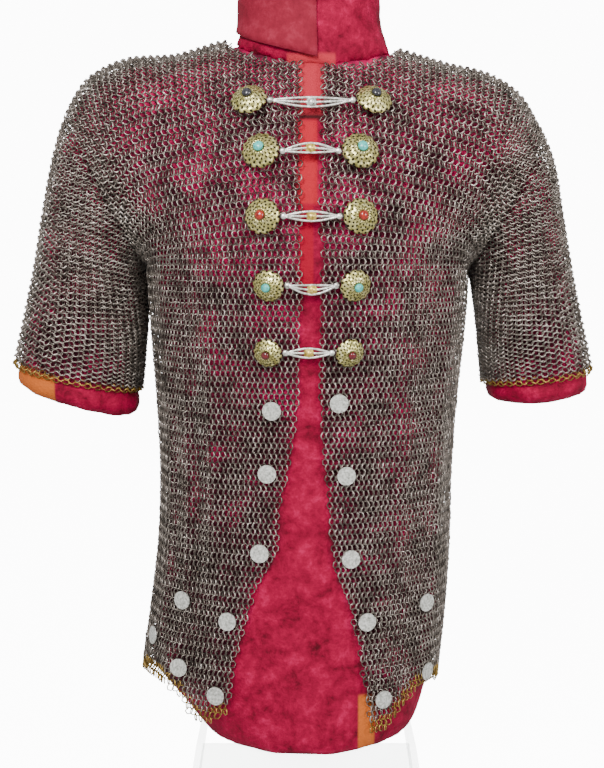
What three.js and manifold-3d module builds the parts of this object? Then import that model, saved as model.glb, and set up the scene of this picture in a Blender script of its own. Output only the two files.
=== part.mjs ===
// Chainmail hauberk, worn by a velvet-covered dress form on a clear plinth.
// Millimetres. +Z is up, the front faces -Y, and the wearer's left is +X.
// The origin is the centre of the underside of the base plate.

import * as THREE from 'three';
import { mergeVertices } from 'three/addons/utils/BufferGeometryUtils.js';
import Module from 'manifold-3d';

// ---------------------------------------------------------------- sizes

const MAIL_WALL = 2.4;            // thickness of the ring fabric
const SEAM = 0.3;                 // gap between neighbouring pieces
const CHEST_Z = 785;              // underarm level: below it the body is a tube, above it an arch
const ARMHOLE_RUN = 290;          // from the centre, along the shoulder line, to the armhole
const SHOULDER_DEPTH = 74;        // half depth of the shoulder at the armhole
const UNDERARM_NOTCH = 0.05;      // the panels stop this far (radians) short of the underarm point
const BORDER_HEM = 19;            // height of the brass rows at the hem
const BORDER_CUFF = 7;            // height of the brass rows at the cuffs

const FORM_INSET = 8;             // the velvet lies this far inside the mail
const PAD_INSET = 9;              // the sleeve pads lie this far inside the sleeves
const FORM_BOTTOM = 262;
const FORM_TAPER_TOP = 560;       // below this the form narrows and the mail hangs free of it

const NECK_HOLE = { x: 6, y: -3, right: 92, left: 92, front: 64, back: 64, power: 2.6 };

// Level sections of the body, from the hem up.
// shift moves the section sideways; width is half the breadth; front and back are the depths.
const BODY_SECTIONS = [
  { z: 240, shift: -19, width: 166, front: 107, back: 98 },
  { z: 320, shift: -18, width: 167, front: 107, back: 98 },
  { z: 400, shift: -9, width: 165, front: 104, back: 94 },
  { z: 480, shift: -2, width: 162, front: 101, back: 86 },
  { z: 560, shift: 0, width: 161, front: 100, back: 80 },
  { z: 640, shift: 1, width: 165, front: 105, back: 84 },
  { z: 715, shift: 2, width: 171, front: 115, back: 94 },
  { z: CHEST_Z, shift: 2, width: 175, front: 122, back: 100 },
];

// Breadth of the form where it narrows, from its underside up.
const FORM_SECTIONS = [
  { z: FORM_BOTTOM, shift: 1, width: 112 },
  { z: 278, shift: 1, width: 124 },
  { z: 298, shift: -3, width: 133 },
  { z: 314, shift: -12, width: 150 },
  { z: 336, shift: -16, width: 157 },
  { z: 400, shift: -9, width: 157 },
  { z: 460, shift: -4, width: 155 },
  { z: FORM_TAPER_TOP, shift: 0, width: 153 },
];

// The line along the top of the shoulder and down the outside of the sleeve.
const SHOULDER_LINE = {
  right: [
    { x: 4, z: 1031 },
    { x: -83, z: 1021 },
    { x: -140, z: 1006 },
    { x: -190, z: 1002 },
    { x: -226, z: 987 },
    { x: -247, z: 964 },
    { x: -267, z: 918 },
    { x: -282, z: 856 },
    { x: -298, z: 774 },
    { x: -323, z: 670 },
  ],
  left: [
    { x: 4, z: 1031 },
    { x: 97, z: 1012 },
    { x: 150, z: 997 },
    { x: 195, z: 986 },
    { x: 226, z: 967 },
    { x: 246, z: 938 },
    { x: 265, z: 898 },
    { x: 277, z: 840 },
    { x: 292, z: 765 },
    { x: 316, z: 664 },
  ],
};

// The line along the inside of the sleeve, from the underarm to the cuff.
const UNDERARM_LINE = {
  right: [
    { x: -176.6, z: 786 },
    { x: -177, z: 719 },
    { x: -184, z: 643 },
  ],
  left: [
    { x: 180.6, z: 786 },
    { x: 190, z: 722 },
    { x: 197, z: 652 },
  ],
};

// Half depth of the sleeve from the armhole (share 0) to the cuff (share 1).
const SLEEVE_DEPTHS = [
  { share: 0, depth: SHOULDER_DEPTH },
  { share: 0.5, depth: 69 },
  { share: 1, depth: 63 },
  { share: 1.2, depth: 61 },
];

// Where the sleeve pads end below the cuffs, on their outer and inner side.
const PAD_ENDS = {
  right: { outer: 14, inner: 29 },
  left: { outer: 20, inner: 17 },
};

// Distance of the two front edges from the centre line, from the hem up.
const FRONT_EDGES = [
  { z: 262, right: -86, left: 72 },
  { z: 311, right: -83, left: 65 },
  { z: 360, right: -76, left: 58 },
  { z: 413, right: -61, left: 48 },
  { z: 449, right: -52, left: 36 },
  { z: 479, right: -31, left: 27 },
  { z: 534, right: -27, left: 23 },
  { z: 579, right: -17, left: 18 },
  { z: 634, right: -9, left: 14 },
  { z: 700, right: -6, left: 13 },
  { z: CHEST_Z, right: -5, left: 13 },
];

// Height of the hem, by the angle round the body from the centre front.
const HEM_LINE = [
  { angle: 0, right: 303, left: 272 },
  { angle: 27, right: 301, left: 275 },
  { angle: 33, right: 290, left: 279 },
  { angle: 40, right: 299, left: 285 },
  { angle: 47, right: 319, left: 302 },
  { angle: 60, right: 329, left: 320 },
  { angle: 90, right: 322, left: 314 },
  { angle: 135, right: 308, left: 308 },
  { angle: 180, right: 303, left: 303 },
];

// Soft upright folds of the body: angle and spread in degrees, height outwards, and their ends.
const BODY_FOLDS = {
  right: [
    { angle: 38, spread: 5, height: 4.0, bottom: 420, top: 770 },
    { angle: 51, spread: 5, height: 5.0, bottom: 380, top: 740 },
    { angle: 63, spread: 5, height: 4.5, bottom: 340, top: 690 },
    { angle: 52, spread: 6, height: 6.0, bottom: 290, top: 400 },
    { angle: 112, spread: 7, height: 4.0, bottom: 320, top: 700 },
    { angle: 138, spread: 8, height: 4.5, bottom: 300, top: 640 },
    { angle: 163, spread: 7, height: 3.5, bottom: 330, top: 600 },
  ],
  left: [
    { angle: 41, spread: 6, height: 3.0, bottom: 430, top: 700 },
    { angle: 60, spread: 6, height: 4.0, bottom: 360, top: 720 },
    { angle: 108, spread: 7, height: 4.0, bottom: 330, top: 690 },
    { angle: 130, spread: 8, height: 4.0, bottom: 300, top: 660 },
    { angle: 156, spread: 8, height: 4.5, bottom: 310, top: 560 },
  ],
};

// Bosses from the top pair down: the pair's height, the two places across, radius and clasp sag.
const BOSS_ROWS = [
  { z: 946, right: -57, left: 67, radius: 18.6, stone: 'onyx', sag: 2, lift: 12 },
  { z: 896, right: -45, left: 53, radius: 19.2, stone: 'turquoise', sag: -3, lift: 8 },
  { z: 833, right: -43, left: 53, radius: 18.3, stone: 'carnelian', sag: 0, lift: 2 },
  { z: 765, right: -37, left: 48, radius: 16.5, stone: 'turquoise', sag: 4, lift: -6 },
  { z: 697, right: -38, left: 43, radius: 15.2, stone: 'garnet', sag: 0, lift: -6 },
];
const BOSS_OUTWARD_TILT = 8;      // degrees that the bosses lean away from the front opening
const BOSS_CLEARANCE = 0.8;       // from the mail's outer face to a boss's nearest edge
const BOSS_RISE = 0.56;           // height of the dome as a share of its radius
const STONE_SHARE = 0.34;         // radius of the stone as a share of the boss's

// Blank discs sewn to the fronts.
const DISC_RADIUS = 9.8;
const DISC_THICKNESS = 1.4;
const DISC_STANDOFF = 5.0;        // from the mail's middle surface to the disc's middle
const DISCS = {
  right: [
    { x: -35, z: 636 },
    { x: -40, z: 569 },
    { x: -48, z: 484 },
    { x: -82, z: 409 },
    { x: -131, z: 425 },
    { x: -165, z: 376 },
    { x: -136, z: 352 },
    { x: -95, z: 328 },
  ],
  left: [
    { x: 33, z: 644 },
    { x: 41, z: 567 },
    { x: 46, z: 478 },
    { x: 63, z: 409 },
    { x: 128, z: 420 },
    { x: 81, z: 321 },
    { x: 130, z: 339 },
  ],
};

const WIRE_RADIUS = 1.15;         // the clasps' silver wires
const WIRE_SPREAD = 4.6;          // how far the outer wires bow from the middle one
const ROSETTE_RADIUS = 6.2;

const NECK_SECTIONS = [
  { z: 940, width: 84, front: 60, back: 56 },
  { z: 1006, width: 87, front: 62, back: 59 },
  { z: 1020, width: 81, front: 61, back: 58 },
  { z: 1034, width: 75.5, front: 59, back: 56 },
  { z: 1060, width: 74, front: 58, back: 55 },
  { z: 1083, width: 73, front: 57, back: 54 },
  { z: 1091, width: 68, front: 52, back: 49 },
];
const NECK_CENTRE = { x: 5, y: -2 };
const COLLAR_FLAP = {
  top: 1085,
  bottomStart: 1016,
  bottomEnd: 996,
  from: 188,
  to: 274,
  standoff: 2.2,
  thickness: 1.6,
};

const PLINTH = { topWidth: 120, topDepth: 74, bottomWidth: 160, bottomDepth: 104, wall: 8 };
const BASE_PLATE = { width: 400, depth: 280, height: 12, corner: 26 };

// ---------------------------------------------------------------- curves through tables

// A smooth curve through the rows of a table: key is the column that it runs along.
function curveThrough(rows, key, column) {
  const keys = rows.map((row) => row[key]);
  const values = rows.map((row) => row[column]);
  const last = rows.length - 1;
  const slope = (i) => {
    const low = Math.max(i - 1, 0);
    const high = Math.min(i + 1, last);
    return (values[high] - values[low]) / (keys[high] - keys[low]);
  };
  return (at) => {
    let i = 0;
    while (i < last - 1 && at > keys[i + 1]) i += 1;
    const span = keys[i + 1] - keys[i];
    const t = Math.min(Math.max((at - keys[i]) / span, -0.5), 1.5);
    const t2 = t * t;
    const t3 = t2 * t;
    const start = (2 * t3 - 3 * t2 + 1) * values[i] + (t3 - 2 * t2 + t) * span * slope(i);
    const end = (3 * t2 - 2 * t3) * values[i + 1] + (t3 - t2) * span * slope(i + 1);
    return start + end;
  };
}

// A line of x, z points as a curve by the distance along it.
function lineThrough(points) {
  let run = 0;
  const rows = points.map((point, i) => {
    if (i > 0) run += Math.hypot(point.x - points[i - 1].x, point.z - points[i - 1].z);
    return { run, x: point.x, z: point.z };
  });
  const x = curveThrough(rows, 'run', 'x');
  const z = curveThrough(rows, 'run', 'z');
  const at = (distance) => new THREE.Vector2(x(distance), z(distance));
  return { length: run, at };
}

const degrees = (angle) => THREE.MathUtils.degToRad(angle);
const SIDES = ['right', 'left'];
const signOf = { right: -1, left: 1 };

const bodyShift = curveThrough(BODY_SECTIONS, 'z', 'shift');
const bodyWidth = curveThrough(BODY_SECTIONS, 'z', 'width');
const bodyDepth = {
  front: curveThrough(BODY_SECTIONS, 'z', 'front'),
  back: curveThrough(BODY_SECTIONS, 'z', 'back'),
};
const formShift = curveThrough(FORM_SECTIONS, 'z', 'shift');
const formWidth = curveThrough(FORM_SECTIONS, 'z', 'width');
const sleeveDepth = curveThrough(SLEEVE_DEPTHS, 'share', 'depth');
const neckSize = {
  width: curveThrough(NECK_SECTIONS, 'z', 'width'),
  front: curveThrough(NECK_SECTIONS, 'z', 'front'),
};
const shoulderLine = {};
const underarmLine = {};
const frontEdge = {};
const hemHeight = {};
for (const side of SIDES) {
  shoulderLine[side] = lineThrough(SHOULDER_LINE[side]);
  underarmLine[side] = lineThrough(UNDERARM_LINE[side]);
  frontEdge[side] = curveThrough(FRONT_EDGES, 'z', side);
  hemHeight[side] = curveThrough(HEM_LINE, 'angle', side);
}

// ---------------------------------------------------------------- the surface of the mail

// How far a fold lifts the mail at an angle round the body and a height.
function foldLift(side, angle, z) {
  let lift = 0;
  for (const fold of BODY_FOLDS[side]) {
    const across = (THREE.MathUtils.radToDeg(angle) - fold.angle) / fold.spread;
    const along = (z - fold.bottom) / (fold.top - fold.bottom);
    if (along <= 0 || along >= 1) continue;
    lift += fold.height * Math.exp(-across * across) * Math.sin(Math.PI * along);
  }
  return lift;
}

// A point of the body tube. angle runs from 0 at the centre front to PI at the centre back.
function bodyPoint(side, angle, z, inset) {
  const face = angle <= Math.PI / 2 ? 'front' : 'back';
  const width = bodyWidth(z) - inset;
  const depth = bodyDepth[face](z) - inset;
  const x = bodyShift(z) + signOf[side] * width * Math.sin(angle);
  return new THREE.Vector3(x, -depth * Math.cos(angle), z);
}

// The share of the quarter round from the centre (0) to the side (1) that an angle reaches.
function quarterShare(face, angle) {
  const width = bodyWidth(CHEST_Z);
  const depth = bodyDepth[face](CHEST_Z);
  const steps = 48;
  let reached = 0;
  let whole = 0;
  for (let i = 0; i < steps; i += 1) {
    const at = ((i + 0.5) / steps) * (Math.PI / 2);
    const piece = Math.hypot(width * Math.cos(at), depth * Math.sin(at));
    const part = Math.min(Math.max(angle / (Math.PI / 2) * steps - i, 0), 1);
    reached += piece * part;
    whole += piece;
  }
  return reached / whole;
}

// A point of the arch over the chest or back: spread is 0 at the centre and PI / 2 at the
// armhole, and drop runs from 0 on the shoulder line to 1 at the underarm level.
function archPoint(side, face, spread, drop, inset) {
  const sign = signOf[side];
  const width = bodyWidth(CHEST_Z) - inset;
  const depth = bodyDepth[face](CHEST_Z);
  const share = quarterShare(face, spread);
  const top = shoulderLine[side].at(share * ARMHOLE_RUN);
  const foot = new THREE.Vector2(bodyShift(CHEST_Z) + sign * width * Math.sin(spread), CHEST_Z);
  const up = top.clone().sub(foot).normalize();
  top.addScaledVector(up, -inset);
  const narrowing = 1 - (1 - SHOULDER_DEPTH / depth) * Math.sin(spread) ** 2;
  const reach = depth * narrowing - inset;
  const footDepth = (depth - inset) * Math.cos(spread);
  const turn = Math.PI - Math.asin(Math.min(footDepth / reach, 1));
  const height = top.distanceTo(foot) / (1 - Math.cos(turn));
  const psi = drop * turn;
  const fall = height * (1 - Math.cos(psi));
  const forward = (face === 'front' ? -1 : 1) * reach * Math.sin(psi);
  return new THREE.Vector3(top.x - up.x * fall, forward, top.y - up.y * fall);
}

// A point of the sleeve: share runs from the armhole (0) to the cuff (1), and turn runs round
// from the outside (0) over the front (PI / 2) to the underarm (PI) and back over the rear.
// below carries the section past the cuff, by an outer and an inner distance.
function sleevePoint(side, share, turn, inset, below = { outer: 0, inner: 0 }) {
  const outerRun = ARMHOLE_RUN + share * (shoulderLine[side].length - ARMHOLE_RUN);
  const outer = shoulderLine[side].at(outerRun);
  const inner = underarmLine[side].at(share * underarmLine[side].length);
  outer.y -= below.outer;
  inner.y -= below.inner;
  const middle = outer.clone().add(inner).multiplyScalar(0.5);
  const up = outer.clone().sub(inner).multiplyScalar(0.5);
  up.setLength(up.length() - inset);
  const depth = sleeveDepth(share) - inset;
  const x = middle.x + up.x * Math.cos(turn);
  const z = middle.y + up.y * Math.cos(turn);
  return new THREE.Vector3(x, -depth * Math.sin(turn), z);
}

// ---------------------------------------------------------------- closed solids from grids

function solidFrom(points, faces) {
  const positions = new Float32Array(faces.flat().flatMap((i) => points[i].toArray()));
  const geometry = new THREE.BufferGeometry();
  geometry.setAttribute('position', new THREE.BufferAttribute(positions, 3));
  const merged = mergeVertices(geometry, 1e-4);
  return facingOut(withoutSlivers(merged));
}

// Drops triangles that merging has closed up.
function withoutSlivers(geometry) {
  const index = geometry.getIndex().array;
  const kept = [];
  for (let i = 0; i < index.length; i += 3) {
    const [a, b, c] = [index[i], index[i + 1], index[i + 2]];
    if (a !== b && b !== c && c !== a) kept.push(a, b, c);
  }
  geometry.setIndex(kept);
  return geometry;
}

// Turns the faces round if they point inwards.
function facingOut(geometry) {
  const position = geometry.getAttribute('position');
  const index = Array.from(geometry.getIndex().array);
  const corner = (i) => new THREE.Vector3().fromBufferAttribute(position, index[i]);
  let volume = 0;
  for (let i = 0; i < index.length; i += 3) {
    volume += corner(i).dot(corner(i + 1).cross(corner(i + 2)));
  }
  if (volume < 0) index.reverse();
  geometry.setIndex(index);
  geometry.computeVertexNormals();
  return geometry;
}

// A wall over a grid of rows and columns. pointAt(row, column, inset) gives its surface, and
// closed joins the last column to the first.
function wallSolid(rows, columns, pointAt, thickness = MAIL_WALL, closed = false) {
  const points = [];
  const faces = [];
  const across = closed ? columns : columns + 1;
  const id = (layer, i, j) => (layer * (rows + 1) + i) * across + (j % across);
  for (const layer of [0, 1]) {
    for (let i = 0; i <= rows; i += 1) {
      for (let j = 0; j < across; j += 1) {
        points.push(pointAt(i / rows, j / columns, layer === 0 ? -thickness / 2 : thickness / 2));
      }
    }
  }
  const quad = (a, b, c, d) => faces.push([a, b, c], [a, c, d]);
  for (let i = 0; i < rows; i += 1) {
    for (let j = 0; j < columns; j += 1) {
      quad(id(0, i, j), id(0, i, j + 1), id(0, i + 1, j + 1), id(0, i + 1, j));
      quad(id(1, i, j), id(1, i + 1, j), id(1, i + 1, j + 1), id(1, i, j + 1));
    }
  }
  for (let j = 0; j < columns; j += 1) {
    quad(id(0, 0, j), id(1, 0, j), id(1, 0, j + 1), id(0, 0, j + 1));
    quad(id(0, rows, j), id(0, rows, j + 1), id(1, rows, j + 1), id(1, rows, j));
  }
  if (!closed) {
    for (let i = 0; i < rows; i += 1) {
      quad(id(0, i, 0), id(0, i + 1, 0), id(1, i + 1, 0), id(1, i, 0));
      quad(id(0, i, columns), id(1, i, columns), id(1, i + 1, columns), id(0, i + 1, columns));
    }
  }
  return solidFrom(points, faces);
}

// A solid through closed loops of equal length, capped at both ends.
function loftSolid(loops) {
  const count = loops[0].length;
  const points = loops.flat();
  const faces = [];
  for (let i = 0; i < loops.length - 1; i += 1) {
    for (let j = 0; j < count; j += 1) {
      const a = i * count + j;
      const b = i * count + ((j + 1) % count);
      faces.push([a, b, b + count], [a, b + count, a + count]);
    }
  }
  addCap(points, faces, loops[0].map((_, j) => count - 1 - j));
  addCap(points, faces, loops[0].map((_, j) => (loops.length - 1) * count + j));
  return solidFrom(points, faces);
}

// Closes a loop of point numbers with triangles that meet in its middle.
function addCap(points, faces, loop) {
  const middle = new THREE.Vector3();
  for (const i of loop) middle.add(points[i]);
  points.push(middle.divideScalar(loop.length));
  const centre = points.length - 1;
  loop.forEach((i, j) => faces.push([centre, i, loop[(j + 1) % loop.length]]));
}

// ---------------------------------------------------------------- joining and cutting

const wasm = await Module();
wasm.setup();

function toManifold(geometry) {
  const bare = new THREE.BufferGeometry();
  bare.setAttribute('position', geometry.getAttribute('position').clone());
  if (geometry.getIndex()) bare.setIndex(geometry.getIndex().clone());
  const merged = mergeVertices(bare, 1e-4);
  const mesh = new wasm.Mesh({
    numProp: 3,
    vertProperties: new Float32Array(merged.getAttribute('position').array),
    triVerts: new Uint32Array(merged.getIndex().array),
  });
  return new wasm.Manifold(mesh);
}

function fromManifold(solid) {
  const mesh = solid.getMesh();
  const geometry = new THREE.BufferGeometry();
  geometry.setAttribute('position', new THREE.BufferAttribute(mesh.vertProperties, 3));
  geometry.setIndex(new THREE.BufferAttribute(mesh.triVerts, 1));
  geometry.computeVertexNormals();
  return geometry;
}

// ---------------------------------------------------------------- materials

const finish = (color, roughness, metalness) => ({ color, roughness, metalness });
const FINISHES = {
  mail: finish(0x6a6258, 0.45, 0.9),
  brass: finish(0xa98f4e, 0.4, 0.9),
  boss: finish(0xc9bd7a, 0.4, 0.9),
  silver: finish(0xc9c8c0, 0.35, 0.9),
  onyx: finish(0x1a1a1c, 0.2, 0),
  turquoise: finish(0x55b8ae, 0.35, 0),
  carnelian: finish(0xa8331c, 0.2, 0),
  garnet: finish(0x5a1018, 0.2, 0),
  velvet: finish(0xb81e49, 0.9, 0),
  reverse: finish(0xb5475c, 0.95, 0),
  acrylic: finish(0xdcebe4, 0.1, 0),
};

const hauberk = new THREE.Group();

function addPiece(name, geometry, finishName) {
  const mesh = new THREE.Mesh(geometry, new THREE.MeshStandardMaterial(FINISHES[finishName]));
  mesh.name = name;
  hauberk.add(mesh);
  return mesh;
}

// ---------------------------------------------------------------- body panels

const ARCH_ROWS = 11;
const TUBE_ROWS = 13;
const FRONT_COLUMNS = 14;
const BACK_COLUMNS = 24;

const insideNeckHole = (point) => {
  const reachX = point.x < NECK_HOLE.x ? NECK_HOLE.right : NECK_HOLE.left;
  const reachY = point.y < NECK_HOLE.y ? NECK_HOLE.front : NECK_HOLE.back;
  const across = Math.abs(point.x - NECK_HOLE.x) / reachX;
  const along = Math.abs(point.y - NECK_HOLE.y) / reachY;
  return across ** NECK_HOLE.power + along ** NECK_HOLE.power < 1;
};

// The drop at which a column of the arch leaves the neck hole, or 0 if it misses the hole.
function neckDrop(side, face, spread) {
  if (!insideNeckHole(archPoint(side, face, spread, 0, 0))) return 0;
  let low = 0;
  let high = 1;
  for (let i = 0; i < 24; i += 1) {
    const middle = (low + high) / 2;
    if (insideNeckHole(archPoint(side, face, spread, middle, 0))) low = middle;
    else high = middle;
  }
  return high;
}

// Angle at which a front panel starts, at a height.
const edgeAngle = (side, z) => {
  const reach = Math.abs(frontEdge[side](Math.min(z, CHEST_Z)) - bodyShift(z));
  const sameSide = Math.sign(frontEdge[side](Math.min(z, CHEST_Z)) - bodyShift(z)) === signOf[side];
  return sameSide ? Math.asin(reach / bodyWidth(z)) : 0;
};

// A point of the body cloth, kept half a seam away from the side seam and the shoulder line.
function clothPoint(side, face, angle, level, inset) {
  const back = face === 'back';
  const nudge = back ? SEAM / 2 : -SEAM / 2;
  const spread = back ? Math.PI - angle : angle;
  let point;
  if (level <= 1) {
    const limit = Math.PI / 2 - 0.002 - UNDERARM_NOTCH * level ** 6;
    const kept = Math.min(spread, limit);
    const start = neckDrop(side, face, kept);
    point = archPoint(side, face, kept, start + (1 - start) * level, inset);
  } else {
    const fall = level - 1;
    const notch = UNDERARM_NOTCH * Math.max(1 - fall * 14, 0);
    const kept = Math.min(spread, Math.PI / 2 - notch);
    const around = back ? Math.PI - kept : kept;
    const bottom = hemHeight[side](THREE.MathUtils.radToDeg(around)) + BORDER_HEM + 1.3 * SEAM;
    const z = CHEST_Z + (bottom - CHEST_Z) * fall;
    point = bodyPoint(side, around, z, inset - foldLift(side, around, z));
  }
  point.y += nudge;
  return point;
}

// Rows are shared between the arch (levels 0 to 1) and the body tube (levels 1 to 2).
function levelOf(share) {
  const row = share * (ARCH_ROWS + TUBE_ROWS);
  return row <= ARCH_ROWS ? row / ARCH_ROWS : 1 + (row - ARCH_ROWS) / TUBE_ROWS;
}

// The height on a front edge at a level, by the hem at that edge.
function edgeHeight(side, level) {
  if (level <= 1) return CHEST_Z;
  return CHEST_Z + (hemHeight[side](28) + BORDER_HEM - CHEST_Z) * (level - 1);
}

for (const side of SIDES) {
  const frontAt = (rowShare, columnShare, inset) => {
    const level = levelOf(rowShare);
    const start = edgeAngle(side, edgeHeight(side, level));
    const angle = start + (Math.PI / 2 - start) * columnShare;
    return clothPoint(side, 'front', angle, level, inset);
  };
  addPiece(`front_${side}`, wallSolid(ARCH_ROWS + TUBE_ROWS, FRONT_COLUMNS, frontAt), 'mail');
}

const backAt = (rowShare, columnShare, inset) => {
  const level = levelOf(rowShare);
  const across = 2 * columnShare - 1;
  const side = across < 0 ? 'right' : 'left';
  const angle = Math.PI - (Math.PI / 2) * Math.abs(across);
  return clothPoint(side, 'back', angle, level, inset);
};
addPiece('back', wallSolid(ARCH_ROWS + TUBE_ROWS, BACK_COLUMNS, backAt), 'mail');

// ---------------------------------------------------------------- brass border of the hem

// A strip under the cloth, from its lower edge down to the hem.
function hemStrip(side, face, angle, share, inset) {
  const hem = hemHeight[side](THREE.MathUtils.radToDeg(angle));
  const z = hem + BORDER_HEM * (1 - share);
  const point = bodyPoint(side, angle, z, inset - foldLift(side, angle, z));
  point.y += face === 'back' ? SEAM / 2 : -SEAM / 2;
  return point;
}

for (const side of SIDES) {
  const stripAt = (rowShare, columnShare, inset) => {
    const start = edgeAngle(side, hemHeight[side](28) + BORDER_HEM * (1 - rowShare));
    return hemStrip(side, 'front', start + (Math.PI / 2 - start) * columnShare, rowShare, inset);
  };
  addPiece(`hem_${side}`, wallSolid(1, FRONT_COLUMNS, stripAt), 'brass');
}

const backStripAt = (rowShare, columnShare, inset) => {
  const across = 2 * columnShare - 1;
  const side = across < 0 ? 'right' : 'left';
  return hemStrip(side, 'back', Math.PI - (Math.PI / 2) * Math.abs(across), rowShare, inset);
};
addPiece('hem_back', wallSolid(1, BACK_COLUMNS, backStripAt), 'brass');

// ---------------------------------------------------------------- sleeves

const SLEEVE_ROWS = 11;
const SLEEVE_COLUMNS = 26;

for (const side of SIDES) {
  const outerLength = shoulderLine[side].length - ARMHOLE_RUN;
  const start = SEAM / outerLength;
  const border = BORDER_CUFF / outerLength;
  const tubeAt = (from, to) => (rowShare, columnShare, inset) => {
    const share = from + (to - from) * rowShare;
    return sleevePoint(side, share, 2 * Math.PI * columnShare, inset);
  };
  const mainRows = tubeAt(start, 1 - border - 2 * start);
  addPiece(`sleeve_${side}`, wallSolid(SLEEVE_ROWS, SLEEVE_COLUMNS, mainRows, MAIL_WALL, true), 'mail');
  addPiece(`cuff_${side}`, wallSolid(1, SLEEVE_COLUMNS, tubeAt(1 - border, 1), MAIL_WALL, true), 'brass');
}

// ---------------------------------------------------------------- dress form

const FORM_ARCH_ROWS = 8;
const FORM_TUBE_ROWS = 10;
const FORM_COLUMNS = 10;

// Rows of the tube are closer together towards the bottom, where it rounds in.
const tubeShare = (i) => 1 - (1 - i / FORM_TUBE_ROWS) ** 1.6;

// A point of the form below the underarms.
function formPoint(side, angle, z, inset) {
  const point = bodyPoint(side, angle, z, inset);
  if (z >= FORM_TAPER_TOP) return point;
  const extra = inset - FORM_INSET;
  point.x = formShift(z) + signOf[side] * (formWidth(z) - extra) * Math.sin(angle);
  return point;
}

// One column of the form: up the front, over the shoulder line and down the back.
function formColumn(side, share, inset) {
  const frontSpread = (Math.PI / 2) * share;
  const column = [];
  for (let i = FORM_TUBE_ROWS; i > 0; i -= 1) {
    const z = CHEST_Z + (FORM_BOTTOM - CHEST_Z) * tubeShare(i);
    column.push(formPoint(side, frontSpread, z, inset));
  }
  for (let i = FORM_ARCH_ROWS; i > 0; i -= 1) {
    column.push(archPoint(side, 'front', frontSpread, i / FORM_ARCH_ROWS, inset));
  }
  for (let i = 0; i <= FORM_ARCH_ROWS; i += 1) {
    column.push(archPoint(side, 'back', frontSpread, i / FORM_ARCH_ROWS, inset));
  }
  for (let i = 1; i <= FORM_TUBE_ROWS; i += 1) {
    const z = CHEST_Z + (FORM_BOTTOM - CHEST_Z) * tubeShare(i);
    column.push(formPoint(side, Math.PI - frontSpread, z, inset));
  }
  return column;
}

// The whole torso: columns from armhole to armhole, closed at the armholes and underneath.
function formBody(inset) {
  const columns = [];
  for (let j = -FORM_COLUMNS; j <= FORM_COLUMNS; j += 1) {
    columns.push(formColumn(j < 0 ? 'right' : 'left', Math.abs(j) / FORM_COLUMNS, inset));
  }
  const count = columns[0].length;
  const points = columns.flat();
  const faces = [];
  for (let j = 0; j < columns.length - 1; j += 1) {
    for (let i = 0; i < count - 1; i += 1) {
      const a = j * count + i;
      faces.push([a, a + count, a + count + 1], [a, a + count + 1, a + 1]);
    }
  }
  const hem = [];
  for (let j = 0; j < columns.length; j += 1) hem.push(j * count);
  for (let j = columns.length - 2; j > 0; j -= 1) hem.push(j * count + count - 1);
  addCap(points, faces, hem.slice().reverse());
  const armhole = [];
  for (let i = FORM_TUBE_ROWS; i < count - FORM_TUBE_ROWS; i += 1) armhole.push(i);
  addCap(points, faces, armhole);
  const lastColumn = (columns.length - 1) * count;
  addCap(points, faces, armhole.map((i) => lastColumn + i).reverse());
  return solidFrom(points, faces);
}

addPiece('form_body', formBody(FORM_INSET), 'velvet');

const NECK_SIDES = 28;

function neckLoop(section) {
  const loop = [];
  for (let j = 0; j < NECK_SIDES; j += 1) {
    const angle = (2 * Math.PI * j) / NECK_SIDES;
    const depth = Math.sin(angle) < 0 ? section.front : section.back;
    const x = NECK_CENTRE.x + section.width * Math.cos(angle);
    loop.push(new THREE.Vector3(x, NECK_CENTRE.y + depth * Math.sin(angle), section.z));
  }
  return loop;
}

const neckBlock = loftSolid(NECK_SECTIONS.map(neckLoop));
const neck = toManifold(neckBlock).subtract(toManifold(formBody(FORM_INSET - 2 * SEAM)));
addPiece('form_neck', fromManifold(neck), 'velvet');

// The collar's loose end, turned inside out and lying over the front of the neck.
const flapAt = (rowShare, columnShare, inset) => {
  const bottom = COLLAR_FLAP.bottomStart + (COLLAR_FLAP.bottomEnd - COLLAR_FLAP.bottomStart) * columnShare;
  const z = COLLAR_FLAP.top + (bottom - COLLAR_FLAP.top) * rowShare;
  const angle = degrees(COLLAR_FLAP.from + (COLLAR_FLAP.to - COLLAR_FLAP.from) * columnShare);
  const out = COLLAR_FLAP.standoff - inset;
  const x = NECK_CENTRE.x + (neckSize.width(z) + out) * Math.cos(angle);
  return new THREE.Vector3(x, NECK_CENTRE.y + (neckSize.front(z) + out) * Math.sin(angle), z);
};
addPiece('form_collar_flap', wallSolid(7, 12, flapAt, COLLAR_FLAP.thickness), 'reverse');

// Sleeve pads: rounded stubs that fill the sleeves and end just past the cuffs.
const PAD_SIDES = 20;
const PAD_STATIONS = [0.014, 0.25, 0.5, 0.75, 1];

function padLoop(side, share, inset, below) {
  const loop = [];
  for (let j = 0; j < PAD_SIDES; j += 1) {
    loop.push(sleevePoint(side, share, (2 * Math.PI * j) / PAD_SIDES, inset, below));
  }
  return loop;
}

for (const side of SIDES) {
  const ends = PAD_ENDS[side];
  const loops = PAD_STATIONS.map((share) => padLoop(side, share, PAD_INSET));
  loops.push(padLoop(side, 1, PAD_INSET - 5, { outer: ends.outer * 0.45, inner: ends.inner * 0.45 }));
  loops.push(padLoop(side, 1, PAD_INSET - 4, { outer: ends.outer * 0.85, inner: ends.inner * 0.85 }));
  loops.push(padLoop(side, 1, PAD_INSET + 3, ends));
  addPiece(`form_sleeve_pad_${side}`, loftSolid(loops), 'velvet');
}

// ---------------------------------------------------------------- bosses, stones and discs

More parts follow.
